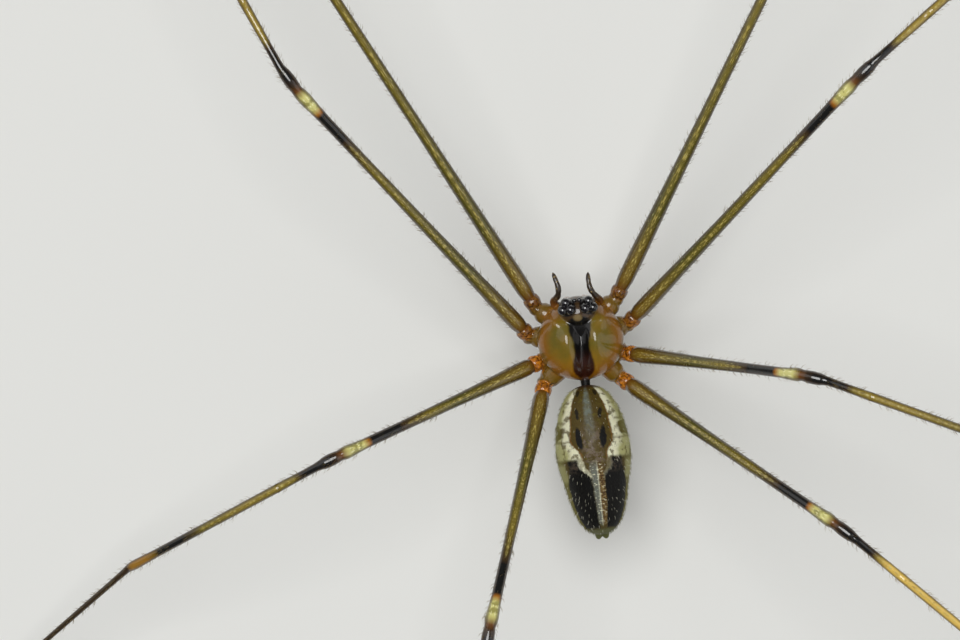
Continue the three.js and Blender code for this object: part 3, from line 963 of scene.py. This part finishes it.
def leg_hair_paint(context):
    """Hairs half in the colour of the skin at their root and half gold."""
    c = shades(context)
    paint = Paint("leg_hair")
    shade, *_ = leg_shade(paint, c)
    return paint.finish(paint.mix(0.5, shade, c.leg_hair), 0.35)


def mouth_paint(context):
    """Brown jaws that darken downward, with black fangs."""
    c = shades(context)
    paint = Paint("mouthpart_cuticle")
    place = paint.place()
    *_, height = paint.apart(place)
    shade = paint.mix((height + paint.mottle(place, 6.0) * 0.3).step(2.75, 2.35), c.jaw, c.band_rear)
    shade = paint.mix(paint.carried("along").step(1.0, 1.2), shade, c.band)
    grain = paint.mottle(place, 24.0, 4.0)
    roughness = 0.3 + 0.1 * paint.mottle(place, 10.0)
    return paint.finish(shade, roughness, grain, 0.006, coat_weight=0.7, coat_roughness=0.1)


def palp_paint(context):
    """Dark palps with pale specks, brown at the root."""
    c = shades(context)
    paint = Paint("palp_cuticle")
    place = paint.place()
    along = paint.carried("along")
    shade = paint.mix(along.step(0.45, 0.15), c.palp, c.jaw)
    speck = paint.mottle(place, 22.0, 2.0).step(0.6, 0.68)
    shade = paint.mix(speck * along.step(0.2, 0.5), shade, c.palp_speck)
    roughness = 0.35 + 0.1 * paint.mottle(place, 10.0)
    return paint.finish(shade, roughness, paint.mottle(place, 40.0), 0.004, coat_weight=0.5)


def lens_paint(context):
    """Black lenses with a wet gloss."""
    c = shades(context)
    paint = Paint("eye_lens")
    shade = paint.mix(paint.mottle(paint.place(), 8.0).step(0.4, 0.8), c.lens, c.lens_gleam)
    return paint.finish(shade, 0.06, coat_weight=1.0, coat_roughness=0.02)


def floor_paint(context):
    """A matt floor."""
    paint = Paint("studio_floor")
    return paint.finish((*shades(context).floor, 1.0), 0.75)


# Body


RIM_HEIGHT = 3.12
BELLY_DEPTH = 0.32
LOBE = {"height": 0.12, "middle": (0.3, -0.03), "spread": (0.24, 0.5)}
SHOULDER = {"height": 0.11, "middle": (0.52, -0.42), "spread": (0.13, 0.16)}
FURROW_SPREAD = 0.15
NECK_DEPTH = 0.015
NECK_SPREAD = 0.1
GROOVE_DEPTH = 0.006
GROOVES_ROUND = 8.5  # grooves in a whole turn


def thorax(s):
    """The carapace's dome, with a lobe on each side of its furrow and shallow grooves out to the hips."""

    def shape(p):
        x = s.thorax_half_width * p[:, 0]
        y = s.thorax_half_length * p[:, 1]
        wide = np.abs(x)
        top = np.maximum(p[:, 2], 0)
        dome = s.thorax_dome * top**0.9
        hills = hill(wide, y, **LOBE) + hill(wide, y, **SHOULDER)
        furrow = s.furrow_depth * np.exp(-((x / FURROW_SPREAD) ** 2)) * smooth_step(-0.5, -0.1, y)
        off_neck = (y + 0.4 - 0.35 * wide) / NECK_SPREAD
        neck = NECK_DEPTH * np.exp(-(off_neck**2)) * smooth_step(0.45, 0.2, wide)
        waves = GROOVE_DEPTH * np.cos(GROOVES_ROUND * np.arctan2(x, -y))
        grooves = waves * smooth_step(0.4, 0.8, np.hypot(x, y)) * smooth_step(-0.5, 0.1, y)
        rise = dome + (hills - furrow - neck + grooves) * smooth_step(0.0, 0.35, top)
        belly = BELLY_DEPTH * np.minimum(p[:, 2], 0)
        return np.stack([x, y, RIM_HEIGHT + np.where(p[:, 2] > 0, rise, belly)], axis=1)

    return ball(110, 180).moved(shape)


# Rounded parts of the head and the underside: centre, then half width, half length and half height.
CROWN = ((0, -0.56, 3.36), (0.4, 0.33, 0.38))
FACE = ((0, -0.62, 3.22), (0.36, 0.27, 0.3))
NAPE = ((0, -0.4, 3.28), (0.5, 0.42, 0.33))
EYE_MOUND = ((0.21, -0.67, 3.58), (0.17, 0.18, 0.15))
STERNUM = ((0, 0.0, 2.9), (0.5, 0.62, 0.27))
LIP = ((0, -0.52, 2.84), (0.15, 0.16, 0.14))
PALP_LOBE = ((0.2, -0.58, 2.86), (0.12, 0.17, 0.15))


def head():
    """The raised head with a mound under each group of eyes and a steep face."""
    return [ellipsoid(*CROWN, 40, 60), ellipsoid(*FACE), ellipsoid(*NAPE), *mirrored(*EYE_MOUND)]


# A leg's root: places along the femur's line from the hip, and radii.
RING_RADII = [(-0.36, 0.11), (-0.32, 0.15), (-0.27, 0.165), (-0.2, 0.152), (-0.15, 0.168), (-0.09, 0.178),
              (-0.04, 0.172), (0.0, 0.155), (0.03, 0.12)]
RING_BUMPS = 0.014
COXA_RADII = [(0, 0.2), (0.3, 0.225), (0.85, 0.215), (1, 0.15)]
COXA_INWARD = (0.42, 0.45)  # where a coxa starts, as shares of the hip's place outward and back
COXA_HEIGHT = 2.92
ELBOW_INSIDE_HIP = 0.3

# The waist's middle line, and the line from the body to each palp: outward, ahead and height.
WAIST = [(0, -0.55, 3.14), (0, -0.8, 3.13), (0, -1.12, 3.13)]
WAIST_RADII = [(0, 0.2), (0.4, 0.1), (1, 0.085)]
PALP_SEAT = [(0.24, 0.4, 2.95), (0.34, 0.6, 3.0), (0.42, 0.78, 3.06)]
PALP_SEAT_RADII = [(0, 0.14), (0.7, 0.13), (1, 0.08)]


def leg_root(joints):
    """A coxa that swells out from under the dome, and the ring between it and the femur."""
    hip = joints[0]
    outward = unit(joints[1] - hip)
    inner = np.array([hip[0] * COXA_INWARD[0], hip[1] * COXA_INWARD[1], COXA_HEIGHT])
    elbow = hip - outward * ELBOW_INSIDE_HIP
    coxa = swept([inner, (inner + elbow) / 2, elbow], COXA_RADII, 16, 20, easing=2)
    places, radii = zip(*RING_RADII)
    ring = tube(hip + outward * np.array(places)[:, None], radii, 20)
    bumps = [roughened(ring.points, RING_BUMPS, 12.0, seed) for seed in range(3)]
    ring.points = ring.points + np.stack(bumps, axis=1)
    return [coxa, ring]


def body_shell(s):
    """The carapace, sternum, hips and waist as one skin, which carries the distance from the nearest hip."""
    forms = [thorax(s), *head(), ellipsoid(*STERNUM), ellipsoid(*LIP), *mirrored(*PALP_LOBE)]
    forms.append(swept(on_side(1, WAIST), WAIST_RADII, 16, 20))
    hips = []
    for _, joints, _ in each_leg():
        forms += leg_root(joints)
        hips.append(joints[0])
    for side in SIDES.values():
        forms.append(swept(on_side(side, PALP_SEAT), PALP_SEAT_RADII, 10, 16))
    skin = fused(forms, s.skin_grain, 6)
    distance = np.min([np.linalg.norm(skin.points - hip, axis=1) for hip in hips], axis=0)
    return Form(skin.points, skin.faces, place=skin.points, hip=distance)


class SPIDER_OT_body(bpy.types.Operator):
    """Build the shell of the head and thorax with the legs' roots"""

    bl_idname = "spider.body"
    bl_label = "Head and Thorax"

    def execute(self, context):
        shell = body_shell(millimetres(context))
        add_piece(context, "body_shell", shell, carapace_paint(context), ["cephalothorax"])
        return {"FINISHED"}


# Places of the eyes: outward, ahead and height, those of the lenses from the middle of their group.
EYE_GROUP = (0.22, 0.68, 3.775)
LENSES = [(0.082, -0.055, 0.0), (-0.072, -0.06, 0.028), (0.008, 0.082, -0.02)]
MIDDLE_LENS = (0.05, 0.8, 3.72)


def eye_group(s, side):
    """Three large lenses and a small one next to the middle."""
    centres = on_side(side, np.add(EYE_GROUP, LENSES))
    lenses = [ellipsoid(centre, [s.lens_radius] * 3) for centre in centres]
    lenses += [ellipsoid(centre, [s.middle_lens_radius] * 3) for centre in on_side(side, [MIDDLE_LENS])]
    form = joined(lenses)
    form.values["place"] = form.points
    return form


class SPIDER_OT_eyes(bpy.types.Operator):
    """Build the two groups of three lenses and the small pair between them"""

    bl_idname = "spider.eyes"
    bl_label = "Eyes"

    def execute(self, context):
        s = millimetres(context)
        paint = lens_paint(context)
        for name, side in SIDES.items():
            add_piece(context, f"eye_lenses_{name}", eye_group(s, side), paint, [f"eyes_{name}"])
        return {"FINISHED"}


# The jaw's column and its fang, from root to tip: outward, ahead and height.
JAW = [(0.17, 0.6, 3.16), (0.175, 0.68, 2.85), (0.17, 0.74, 2.5), (0.15, 0.76, 2.2)]
JAW_RADII = [(0, 0.09), (0.12, 0.155), (0.3, 0.18), (0.6, 0.165), (0.85, 0.14), (0.95, 0.11), (1, 0.03)]
JAW_FLATNESS = 0.84
JAW_BUMPS = 0.008
FANG = [(0.15, 0.78, 2.28), (0.13, 0.82, 2.15), (0.1, 0.74, 2.06), (0.07, 0.62, 2.08)]
FANG_RADII = [(0, 0.06), (0.3, 0.05), (0.7, 0.03), (1, 0.006)]
AHEAD = (0, -1, 0)


def chelicera(side):
    """A jaw column with its fang; the fang's values run past 1."""
    column = swept(on_side(side, JAW), JAW_RADII, 40, 28, easing=4, upward=AHEAD, flatness=JAW_FLATNESS)
    fang = swept(on_side(side, FANG), FANG_RADII, 20, 14, span=(1.3, 2), upward=AHEAD)
    form = joined([column, fang])
    form.points = form.points + roughened(form.points, JAW_BUMPS, 9.0)[:, None]
    form.values["place"] = form.points
    return form


class SPIDER_OT_mouth(bpy.types.Operator):
    """Build the two jaws with their fangs"""

    bl_idname = "spider.mouth"
    bl_label = "Jaws"

    def execute(self, context):
        paint = mouth_paint(context)
        for name, side in SIDES.items():
            add_piece(context, f"jaw_{name}", chelicera(side), paint, [f"chelicera_{name}"])
        return {"FINISHED"}


# The palps' bends from root to tip: outward, ahead and height.
PALP_BENDS = {
    "left": [
        (0.36, 0.62, 2.98), (0.45, 0.82, 3.1), (0.36, 0.93, 3.33),
        (0.335, 1.08, 3.4), (0.37, 1.25, 3.4), (0.41, 1.4, 3.37),
    ],
    "right": [
        (0.36, 0.62, 2.98), (0.46, 0.76, 3.1), (0.38, 0.86, 3.33),
        (0.3, 1.0, 3.4), (0.28, 1.18, 3.39), (0.29, 1.33, 3.35),
    ],
}
PALP_RADII = [(0, 0.075), (0.1, 0.09), (0.25, 0.072), (0.3, 0.06), (0.34, 0.068), (0.42, 0.062), (0.47, 0.05),
              (0.52, 0.06), (0.68, 0.056), (0.74, 0.046), (0.79, 0.052), (0.93, 0.04), (1, 0.01)]


class SPIDER_OT_palps(bpy.types.Operator):
    """Build the two palps"""

    bl_idname = "spider.palps"
    bl_label = "Palps"

    def execute(self, context):
        paint = palp_paint(context)
        for name, side in SIDES.items():
            form = swept(on_side(side, PALP_BENDS[name]), PALP_RADII, 60, 18, easing=2)
            form.values["place"] = form.points
            add_piece(context, f"palp_skin_{name}", form, paint, [f"palp_{name}"])
        return {"FINISHED"}


ABDOMEN_FRONT = 0.905
ABDOMEN_LENGTH = 3.0
ABDOMEN_HEIGHT = 3.2
ABDOMEN_BACK = 0.75
ABDOMEN_BELLY = 0.63
ABDOMEN_TILT = 0.1  # how far its front end is above its middle, and its rear end below
# The markings wander across the middle: share of the length, then how far off it to the left they lie.
PATTERN_SHIFTS = [(0.38, 0.03), (0.65, -0.04)]


def abdomen_surface(s, t, angle):
    """Points of the abdomen: t runs from -1 at its front to 1 at its end, and angle is 0 on top."""
    fullness = np.maximum(1 - t * t, 1e-9) ** 0.41
    taper = 1 - 0.13 * smooth_step(-0.15, 0.45, t)
    up = np.cos(angle)
    rise = np.where(up > 0, ABDOMEN_BACK, ABDOMEN_BELLY)
    x = s.abdomen_half_width * np.sin(angle) * fullness * taper
    y = ABDOMEN_FRONT + s.abdomen_half_length * (1 + t)
    z = ABDOMEN_HEIGHT + rise * up * fullness * taper - ABDOMEN_TILT * t
    return np.stack(np.broadcast_arrays(x, y, z), axis=-1)


def abdomen_chart(points):
    """The angle off the top as a share of a quarter turn, and the share of the length from the front."""
    back = (points[:, 1] - ABDOMEN_FRONT) / ABDOMEN_LENGTH
    middle = ABDOMEN_HEIGHT - ABDOMEN_TILT * (2 * back - 1)
    shift = np.interp(back, *zip(*PATTERN_SHIFTS))
    off_top = np.abs(np.arctan2(points[:, 0] - shift, points[:, 2] - middle)) / (math.pi / 2)
    return off_top, back


def sack(s):
    """The abdomen's own rounded form."""
    rows = 150
    columns = 160
    t = -np.cos(np.linspace(0, math.pi, rows + 2)[1:-1])
    angle = np.linspace(0, 2 * math.pi, columns, endpoint=False)
    grid = abdomen_surface(s, t[:, None], angle[None, :]).reshape(-1, 3)
    ends = [abdomen_surface(s, np.array(end), np.array(0.0)) for end in (-1.0, 1.0)]
    return Form(np.concatenate([grid, ends]), ring_faces(rows, columns))


# Rounded parts: centre, then half width, half length and half height.
GENITAL_PLATE = ((0, 1.75, 2.66), (0.33, 0.26, 0.15))
PLATE_KNOB = ((0, 1.98, 2.6), (0.12, 0.08, 0.1))
SPINNERET_BASE = ((0, 3.66, 2.88), (0.2, 0.22, 0.19))
SPINNERETS = (
    # outward, back, height, radius, reach
    (0.09, 3.8, 2.86, 0.075, 0.2),
    (0.08, 3.72, 2.74, 0.06, 0.16),
    (0.035, 3.86, 2.8, 0.035, 0.12),
)
SPINNERET_TAPER = [(0, 1.3), (0.6, 1), (0.9, 0.8), (1, 0.4)]
SPINNERET_SUNK = 0.12  # how far ahead of its place a spinneret starts, inside the abdomen
SPINNERET_LIFT = 0.08  # and how far above it


def spinneret(side, out, back, height, radius, reach):
    """A short tapered tube that points back and down."""
    root = np.array([side * out, back - SPINNERET_SUNK, height + SPINNERET_LIFT])
    tip = np.array([side * out * 0.8, back + reach, height - reach * 0.55])
    path = root + (tip - root) * np.linspace(0, 1, 12)[:, None]
    return tube(path, radius * outlined(SPINNERET_TAPER, 12), 14)


def abdomen_form(s):
    """The abdomen with its waist end, genital plate and spinnerets, as one skin."""
    forms = [sack(s), ellipsoid(*GENITAL_PLATE), ellipsoid(*PLATE_KNOB)]
    for sizes in SPINNERETS:
        forms += [spinneret(side, *sizes) for side in SIDES.values()]
    forms.append(ellipsoid(*SPINNERET_BASE))
    skin = fused(forms, s.skin_grain, 5)
    off_top, back = abdomen_chart(skin.points)
    return Form(skin.points, skin.faces, place=skin.points, off_top=off_top, back=back)


class SPIDER_OT_abdomen(bpy.types.Operator):
    """Build the abdomen with its spinnerets"""

    bl_idname = "spider.abdomen"
    bl_label = "Abdomen"

    def execute(self, context):
        form = abdomen_form(millimetres(context))
        add_piece(context, "abdomen_skin", form, abdomen_paint(context), ["abdomen", "spinnerets"])
        return {"FINISHED"}


CLAW_SPREADS = (-28, 28, 0)
CLAW_SUNK = 0.03  # how far a claw starts inside the leg's tip
CLAW_BENDS = [(0, 0), (0.04, 0.012), (0.075, 0), (0.09, -0.02)]  # reach from its start, then rise
CLAW_RADII = [(0, 0.011), (0.5, 0.009), (1, 0.002)]


def claws(joints):
    """Three small hooks at the tip of a leg."""
    heel, tip = joints[-2:]
    forward = unit(tip - heel)
    beside = unit(np.cross(forward, (0, 0, 1)))
    root = tip - forward * CLAW_SUNK
    forms = []
    for spread in CLAW_SPREADS:
        away = forward * math.cos(math.radians(spread)) + beside * math.sin(math.radians(spread))
        corners = [root + away * reach + (0, 0, rise) for reach, rise in CLAW_BENDS]
        forms.append(swept(corners, CLAW_RADII, 9, 8, span=(len(SEGMENTS), len(SEGMENTS))))
    return joined(forms)


class SPIDER_OT_legs(bpy.types.Operator):
    """Build the skin of every leg with its claws"""

    bl_idname = "spider.legs"
    bl_label = "Legs"

    def execute(self, context):
        paint = leg_paint(context)
        for name, joints, paleness in each_leg():
            path, radii, along = leg_line(joints)
            skin = joined([tube(path, radii, LEG_SIDES, along=along), claws(joints)])
            skin.values["place"] = skin.points
            skin.values["paleness"] = np.full(len(skin.points), paleness)
            nodes = [f"{name}_{part}" for part in ("femur", "tibia", "foot")]
            add_piece(context, f"{name}_skin", skin, paint, nodes)
        return {"FINISHED"}


# Hair


HAIR_SIDES = 3
HAIR_TAPER = (1, 0.75, 0.12)  # the radius of each ring of a hair, as a share of that at its root
HAIR_POINTS = HAIR_SIDES * len(HAIR_TAPER)
ROOT_DEPTH = 0.012  # how far a hair starts under the skin
FLOOR_CLEARANCE = 0.015
HAIR_SEED = 11
# How steeply the hairs stand up from the skin, in degrees.
LEG_HAIR_LIFTS = (28, 58)
DOWN_LIFTS = (18, 45)
# Place along a leg, then the hairs' share of their usual length.
HAIR_SHARES = [(0, 0.8), (2, 0.9), (3, 0.8), (4.5, 0.65), (5, 0.5)]
TUFT_PATCH = 0.003  # width of one hair's patch in the texture map
MAP_SHARE = 0.98  # the part of the texture map that the roots' places fill
LEG_MAP_SHARE = 0.9  # the same, round a leg
LEG_MAP_MARGIN = 0.03


def hair_faces():
    """The faces of one hair: its sides, its tip and its root."""
    rings = len(HAIR_TAPER)
    tip = tuple(range(HAIR_POINTS - HAIR_SIDES, HAIR_POINTS))
    root = tuple(range(HAIR_SIDES - 1, -1, -1))
    return [*side_faces(rings, HAIR_SIDES), tip, root]


def hairs(roots, normals, lie, lengths, radii, lifts):
    """Thin tapered hairs that stand up from a skin by their lift and bend towards its lie."""
    lifts = lifts[:, None]
    half = lengths[:, None] / 2
    rise = unit(normals * np.sin(lifts) + lie * np.cos(lifts))
    late = unit(rise * 0.75 + lie * 0.5)
    beside = unit(np.cross(rise, normals + lie * 0.01))
    over = np.cross(beside, rise)
    middle = roots + rise * half
    rings = []
    for station, share in zip((roots - normals * ROOT_DEPTH, middle, middle + late * half), HAIR_TAPER):
        width = (radii * share)[:, None]
        for side in range(HAIR_SIDES):
            angle = 2 * math.pi * side / HAIR_SIDES
            rings.append(station + width * (math.cos(angle) * over + math.sin(angle) * beside))
    points = np.stack(rings, axis=1).reshape(-1, 3)
    pattern = hair_faces()
    faces = []
    for start in range(0, len(points), HAIR_POINTS):
        faces += [tuple(corner + start for corner in face) for face in pattern]
    return Form(points, faces)


def carry_from_roots(form, **values):
    """Every point of a hair carries its root's values, so that it is painted as the skin there."""
    for name, value in values.items():
        form.values[name] = np.repeat(np.asarray(value, dtype=float), HAIR_POINTS, axis=0)


def lay_out(piece, u, v):
    """The texture map: each hair is a small patch at its root's place on the unrolled skin."""
    corner = np.arange(HAIR_POINTS)
    across = corner % HAIR_SIDES / HAIR_SIDES
    along = corner // HAIR_SIDES / len(HAIR_TAPER)
    offsets = np.stack([across, along], axis=1) * TUFT_PATCH
    at_roots = np.stack([np.repeat(u, HAIR_POINTS), np.repeat(v, HAIR_POINTS)], axis=1)
    at_points = at_roots + np.tile(offsets, (len(u), 1))
    chart = piece.data.uv_layers.new(name="OFBake")
    corners = np.empty(len(piece.data.loops), dtype=int)
    piece.data.loops.foreach_get("vertex_index", corners)
    chart.data.foreach_set("uv", at_points[corners].astype(np.float32).ravel())


def leg_coat(rng, joints, paleness, s):
    """Short hairs round a leg, longest on its thick segments, with their places in the texture map."""
    path, radii, along = leg_line(joints)
    forward, up, beside = path_frames(path, (0, 0, 1))
    steps = np.concatenate([[0], np.cumsum(np.linalg.norm(np.diff(path, axis=0), axis=1))])
    count = int(s.leg_hairs * steps[-1])
    station = np.sort(rng.uniform(0.01, 0.995, count)) * steps[-1]
    turn = rng.uniform(0, 1, count)

    def at(values):
        if values.ndim == 1:
            return np.interp(station, steps, values)
        return np.stack([np.interp(station, steps, values[:, axis]) for axis in range(3)], axis=1)

    angle = 2 * math.pi * turn[:, None]
    normals = unit(np.cos(angle) * at(up) + np.sin(angle) * at(beside))
    roots = at(path) + normals * at(radii)[:, None]
    lengths = s.hair_length * rng.uniform(0.6, 1.25, count)
    lengths = lengths * np.interp(at(along), *zip(*HAIR_SHARES))
    lifts = np.radians(rng.uniform(*LEG_HAIR_LIFTS, count))
    drop = normals[:, 2] * np.sin(lifts) + at(forward)[:, 2] * np.cos(lifts)
    keep = np.flatnonzero(roots[:, 2] + np.minimum(1.2 * drop, 0) * lengths > FLOOR_CLEARANCE)
    thickness = s.hair_radius * rng.uniform(0.7, 1.1, len(keep))
    form = hairs(roots[keep], normals[keep], unit(at(forward))[keep], lengths[keep], thickness, lifts[keep])
    carry_from_roots(
        form, place=roots[keep], along=at(along)[keep], turn=folded(turn[keep]),
        paleness=np.full(len(keep), paleness),
    )
    u = turn[keep] * LEG_MAP_SHARE + LEG_MAP_MARGIN
    v = station[keep] / steps[-1] * MAP_SHARE
    return form, u, v


def abdomen_coat(rng, s):
    """Fine hairs over the abdomen, leaning towards its end, with their places in the texture map."""
    count = s.abdomen_hairs
    t = rng.uniform(-0.97, 0.985, count)
    angle = rng.uniform(0, 2 * math.pi, count)
    roots = abdomen_surface(s, t, angle)
    step = 1e-3
    lie = unit(abdomen_surface(s, np.minimum(t + step, 0.999), angle) - abdomen_surface(s, t - step, angle))
    across = unit(abdomen_surface(s, t, angle + step) - abdomen_surface(s, t, angle - step))
    normals = unit(np.cross(lie, across))
    outward = roots - np.array([0, ABDOMEN_FRONT + s.abdomen_half_length, ABDOMEN_HEIGHT])
    normals *= np.sign((normals * outward).sum(axis=1, keepdims=True))
    lengths = s.down_length * rng.uniform(0.6, 1.2, count)
    thickness = s.down_radius * rng.uniform(0.7, 1.0, count)
    form = hairs(roots, normals, lie, lengths, thickness, np.radians(rng.uniform(*DOWN_LIFTS, count)))
    off_top, back = abdomen_chart(roots)
    bright = (rng.uniform(0, 1, count) < s.bright_hairs).astype(float)
    carry_from_roots(form, place=roots, off_top=off_top, back=back, bright=bright)
    u = angle / (2 * math.pi) * MAP_SHARE
    v = (t + 1) / 2 * MAP_SHARE
    return form, u, v


class SPIDER_OT_hair(bpy.types.Operator):
    """Grow the short hairs of the legs and the abdomen"""

    bl_idname = "spider.hair"
    bl_label = "Hair"

    def execute(self, context):
        s = millimetres(context)
        rng = np.random.default_rng(HAIR_SEED)
        paint = leg_hair_paint(context)
        for name, joints, paleness in each_leg():
            form, u, v = leg_coat(rng, joints, paleness, s)
            lay_out(add_piece(context, f"{name}_hair", form, paint), u, v)
        form, u, v = abdomen_coat(rng, s)
        lay_out(add_piece(context, "abdomen_hair", form, abdomen_hair_paint(context)), u, v)
        return {"FINISHED"}


# Stage


FLOOR_HALF_WIDTH = 400
FLOOR_CORNERS = ((-1, -1), (1, -1), (1, 1), (-1, 1))
LAMP_AIM = (0, 0, 3)
LAMPS = (
    # name, place, property that holds its power, width
    ("key_light", (15, -20, 190), "key_power", 125),
    ("left_fill", (150, -90, 120), "fill_power", 220),
    ("right_fill", (-150, 60, 110), "fill_power", 220),
)
SURROUND_COLOUR = (0.95, 0.97, 1.0, 1.0)
VIEW_CENTRE = (1.955, -0.622)  # the middle of the picture, from the spider's own origin
SENSOR_WIDTH = 36
# The nearest and the farthest that the camera sees, in metres.
NEAR_LIMIT = 0.001
FAR_LIMIT = 10


def add_floor(context):
    """A flat floor, which isn't part of the spider."""
    half = FLOOR_HALF_WIDTH * MM
    mesh = bpy.data.meshes.new("studio_floor")
    mesh.from_pydata([(x * half, y * half, 0) for x, y in FLOOR_CORNERS], [], [(0, 1, 2, 3)])
    mesh.materials.append(floor_paint(context))
    ground = bpy.data.objects.new("studio_floor", mesh)
    context.collection.objects.link(ground)


def add_lamp(context, name, place, power, width):
    """A round soft light that points at the body."""
    lamp = bpy.data.lights.new(name, "AREA")
    lamp.energy = power
    lamp.shape = "DISK"
    lamp.size = width * MM
    holder = bpy.data.objects.new(name, lamp)
    holder.location = ORIGIN + Vector(place) * MM
    holder.rotation_euler = (Vector(LAMP_AIM) - Vector(place)).to_track_quat("-Z", "Y").to_euler()
    context.collection.objects.link(holder)


def add_surround(context, strength):
    """Even light from all round."""
    world = bpy.data.worlds.new("studio_surround")
    world.use_nodes = True
    background = world.node_tree.nodes["Background"]
    background.inputs["Color"].default_value = SURROUND_COLOUR
    background.inputs["Strength"].default_value = strength
    context.scene.world = world


def add_camera(context, stage):
    """A camera that looks straight down with the photograph's framing."""
    lens = bpy.data.cameras.new("camera")
    lens.lens = stage.lens
    lens.sensor_width = SENSOR_WIDTH
    lens.clip_start = NEAR_LIMIT
    lens.clip_end = FAR_LIMIT
    camera = bpy.data.objects.new("camera", lens)
    view = ORIGIN + Vector((*VIEW_CENTRE, HIP_HEIGHT)) * MM
    camera.location = view + Vector((0, 0, stage.camera_distance))
    camera.rotation_euler = (0, 0, math.pi - stage.camera_roll)
    context.collection.objects.link(camera)
    context.scene.camera = camera


class SPIDER_OT_stage(bpy.types.Operator):
    """Set up the floor, the soft lights and the camera"""

    bl_idname = "spider.stage"
    bl_label = "Stage"

    def execute(self, context):
        stage = context.scene.spider_stage
        add_floor(context)
        for name, place, power, width in LAMPS:
            add_lamp(context, name, place, getattr(stage, power), width)
        add_surround(context, stage.surround)
        add_camera(context, stage)
        context.scene.view_settings.view_transform = "Standard"
        return {"FINISHED"}


class SPIDER_PT_panel(bpy.types.Panel):
    """Lists the steps that build the spider"""

    bl_idname = "SPIDER_PT_panel"
    bl_label = "Cellar Spider"
    bl_space_type = "VIEW_3D"
    bl_region_type = "UI"
    bl_category = "Spider"

    def draw(self, context):
        for step in STEPS:
            self.layout.operator(step.bl_idname)
        for group_name, group in GROUPS.items():
            box = self.layout.box()
            for name in group.__annotations__:
                box.prop(getattr(context.scene, group_name), name)


GROUPS = {"spider_sizes": SpiderSizes, "spider_colours": SpiderColours, "spider_stage": SpiderStage}
STEPS = (
    SPIDER_OT_stage, SPIDER_OT_body, SPIDER_OT_eyes, SPIDER_OT_mouth, SPIDER_OT_palps,
    SPIDER_OT_abdomen, SPIDER_OT_legs, SPIDER_OT_hair,
)
CLASSES = (*GROUPS.values(), *STEPS, SPIDER_PT_panel)


def register():
    for each in CLASSES:
        bpy.utils.register_class(each)
    for name, group in GROUPS.items():
        setattr(bpy.types.Scene, name, PointerProperty(type=group))


def unregister():
    for name in GROUPS:
        delattr(bpy.types.Scene, name)
    for each in reversed(CLASSES):
        bpy.utils.unregister_class(each)


def main():
    register()
    for step in STEPS:
        group, action = step.bl_idname.split(".")
        getattr(getattr(bpy.ops, group), action)()


if __name__ == "__main__":
    main()
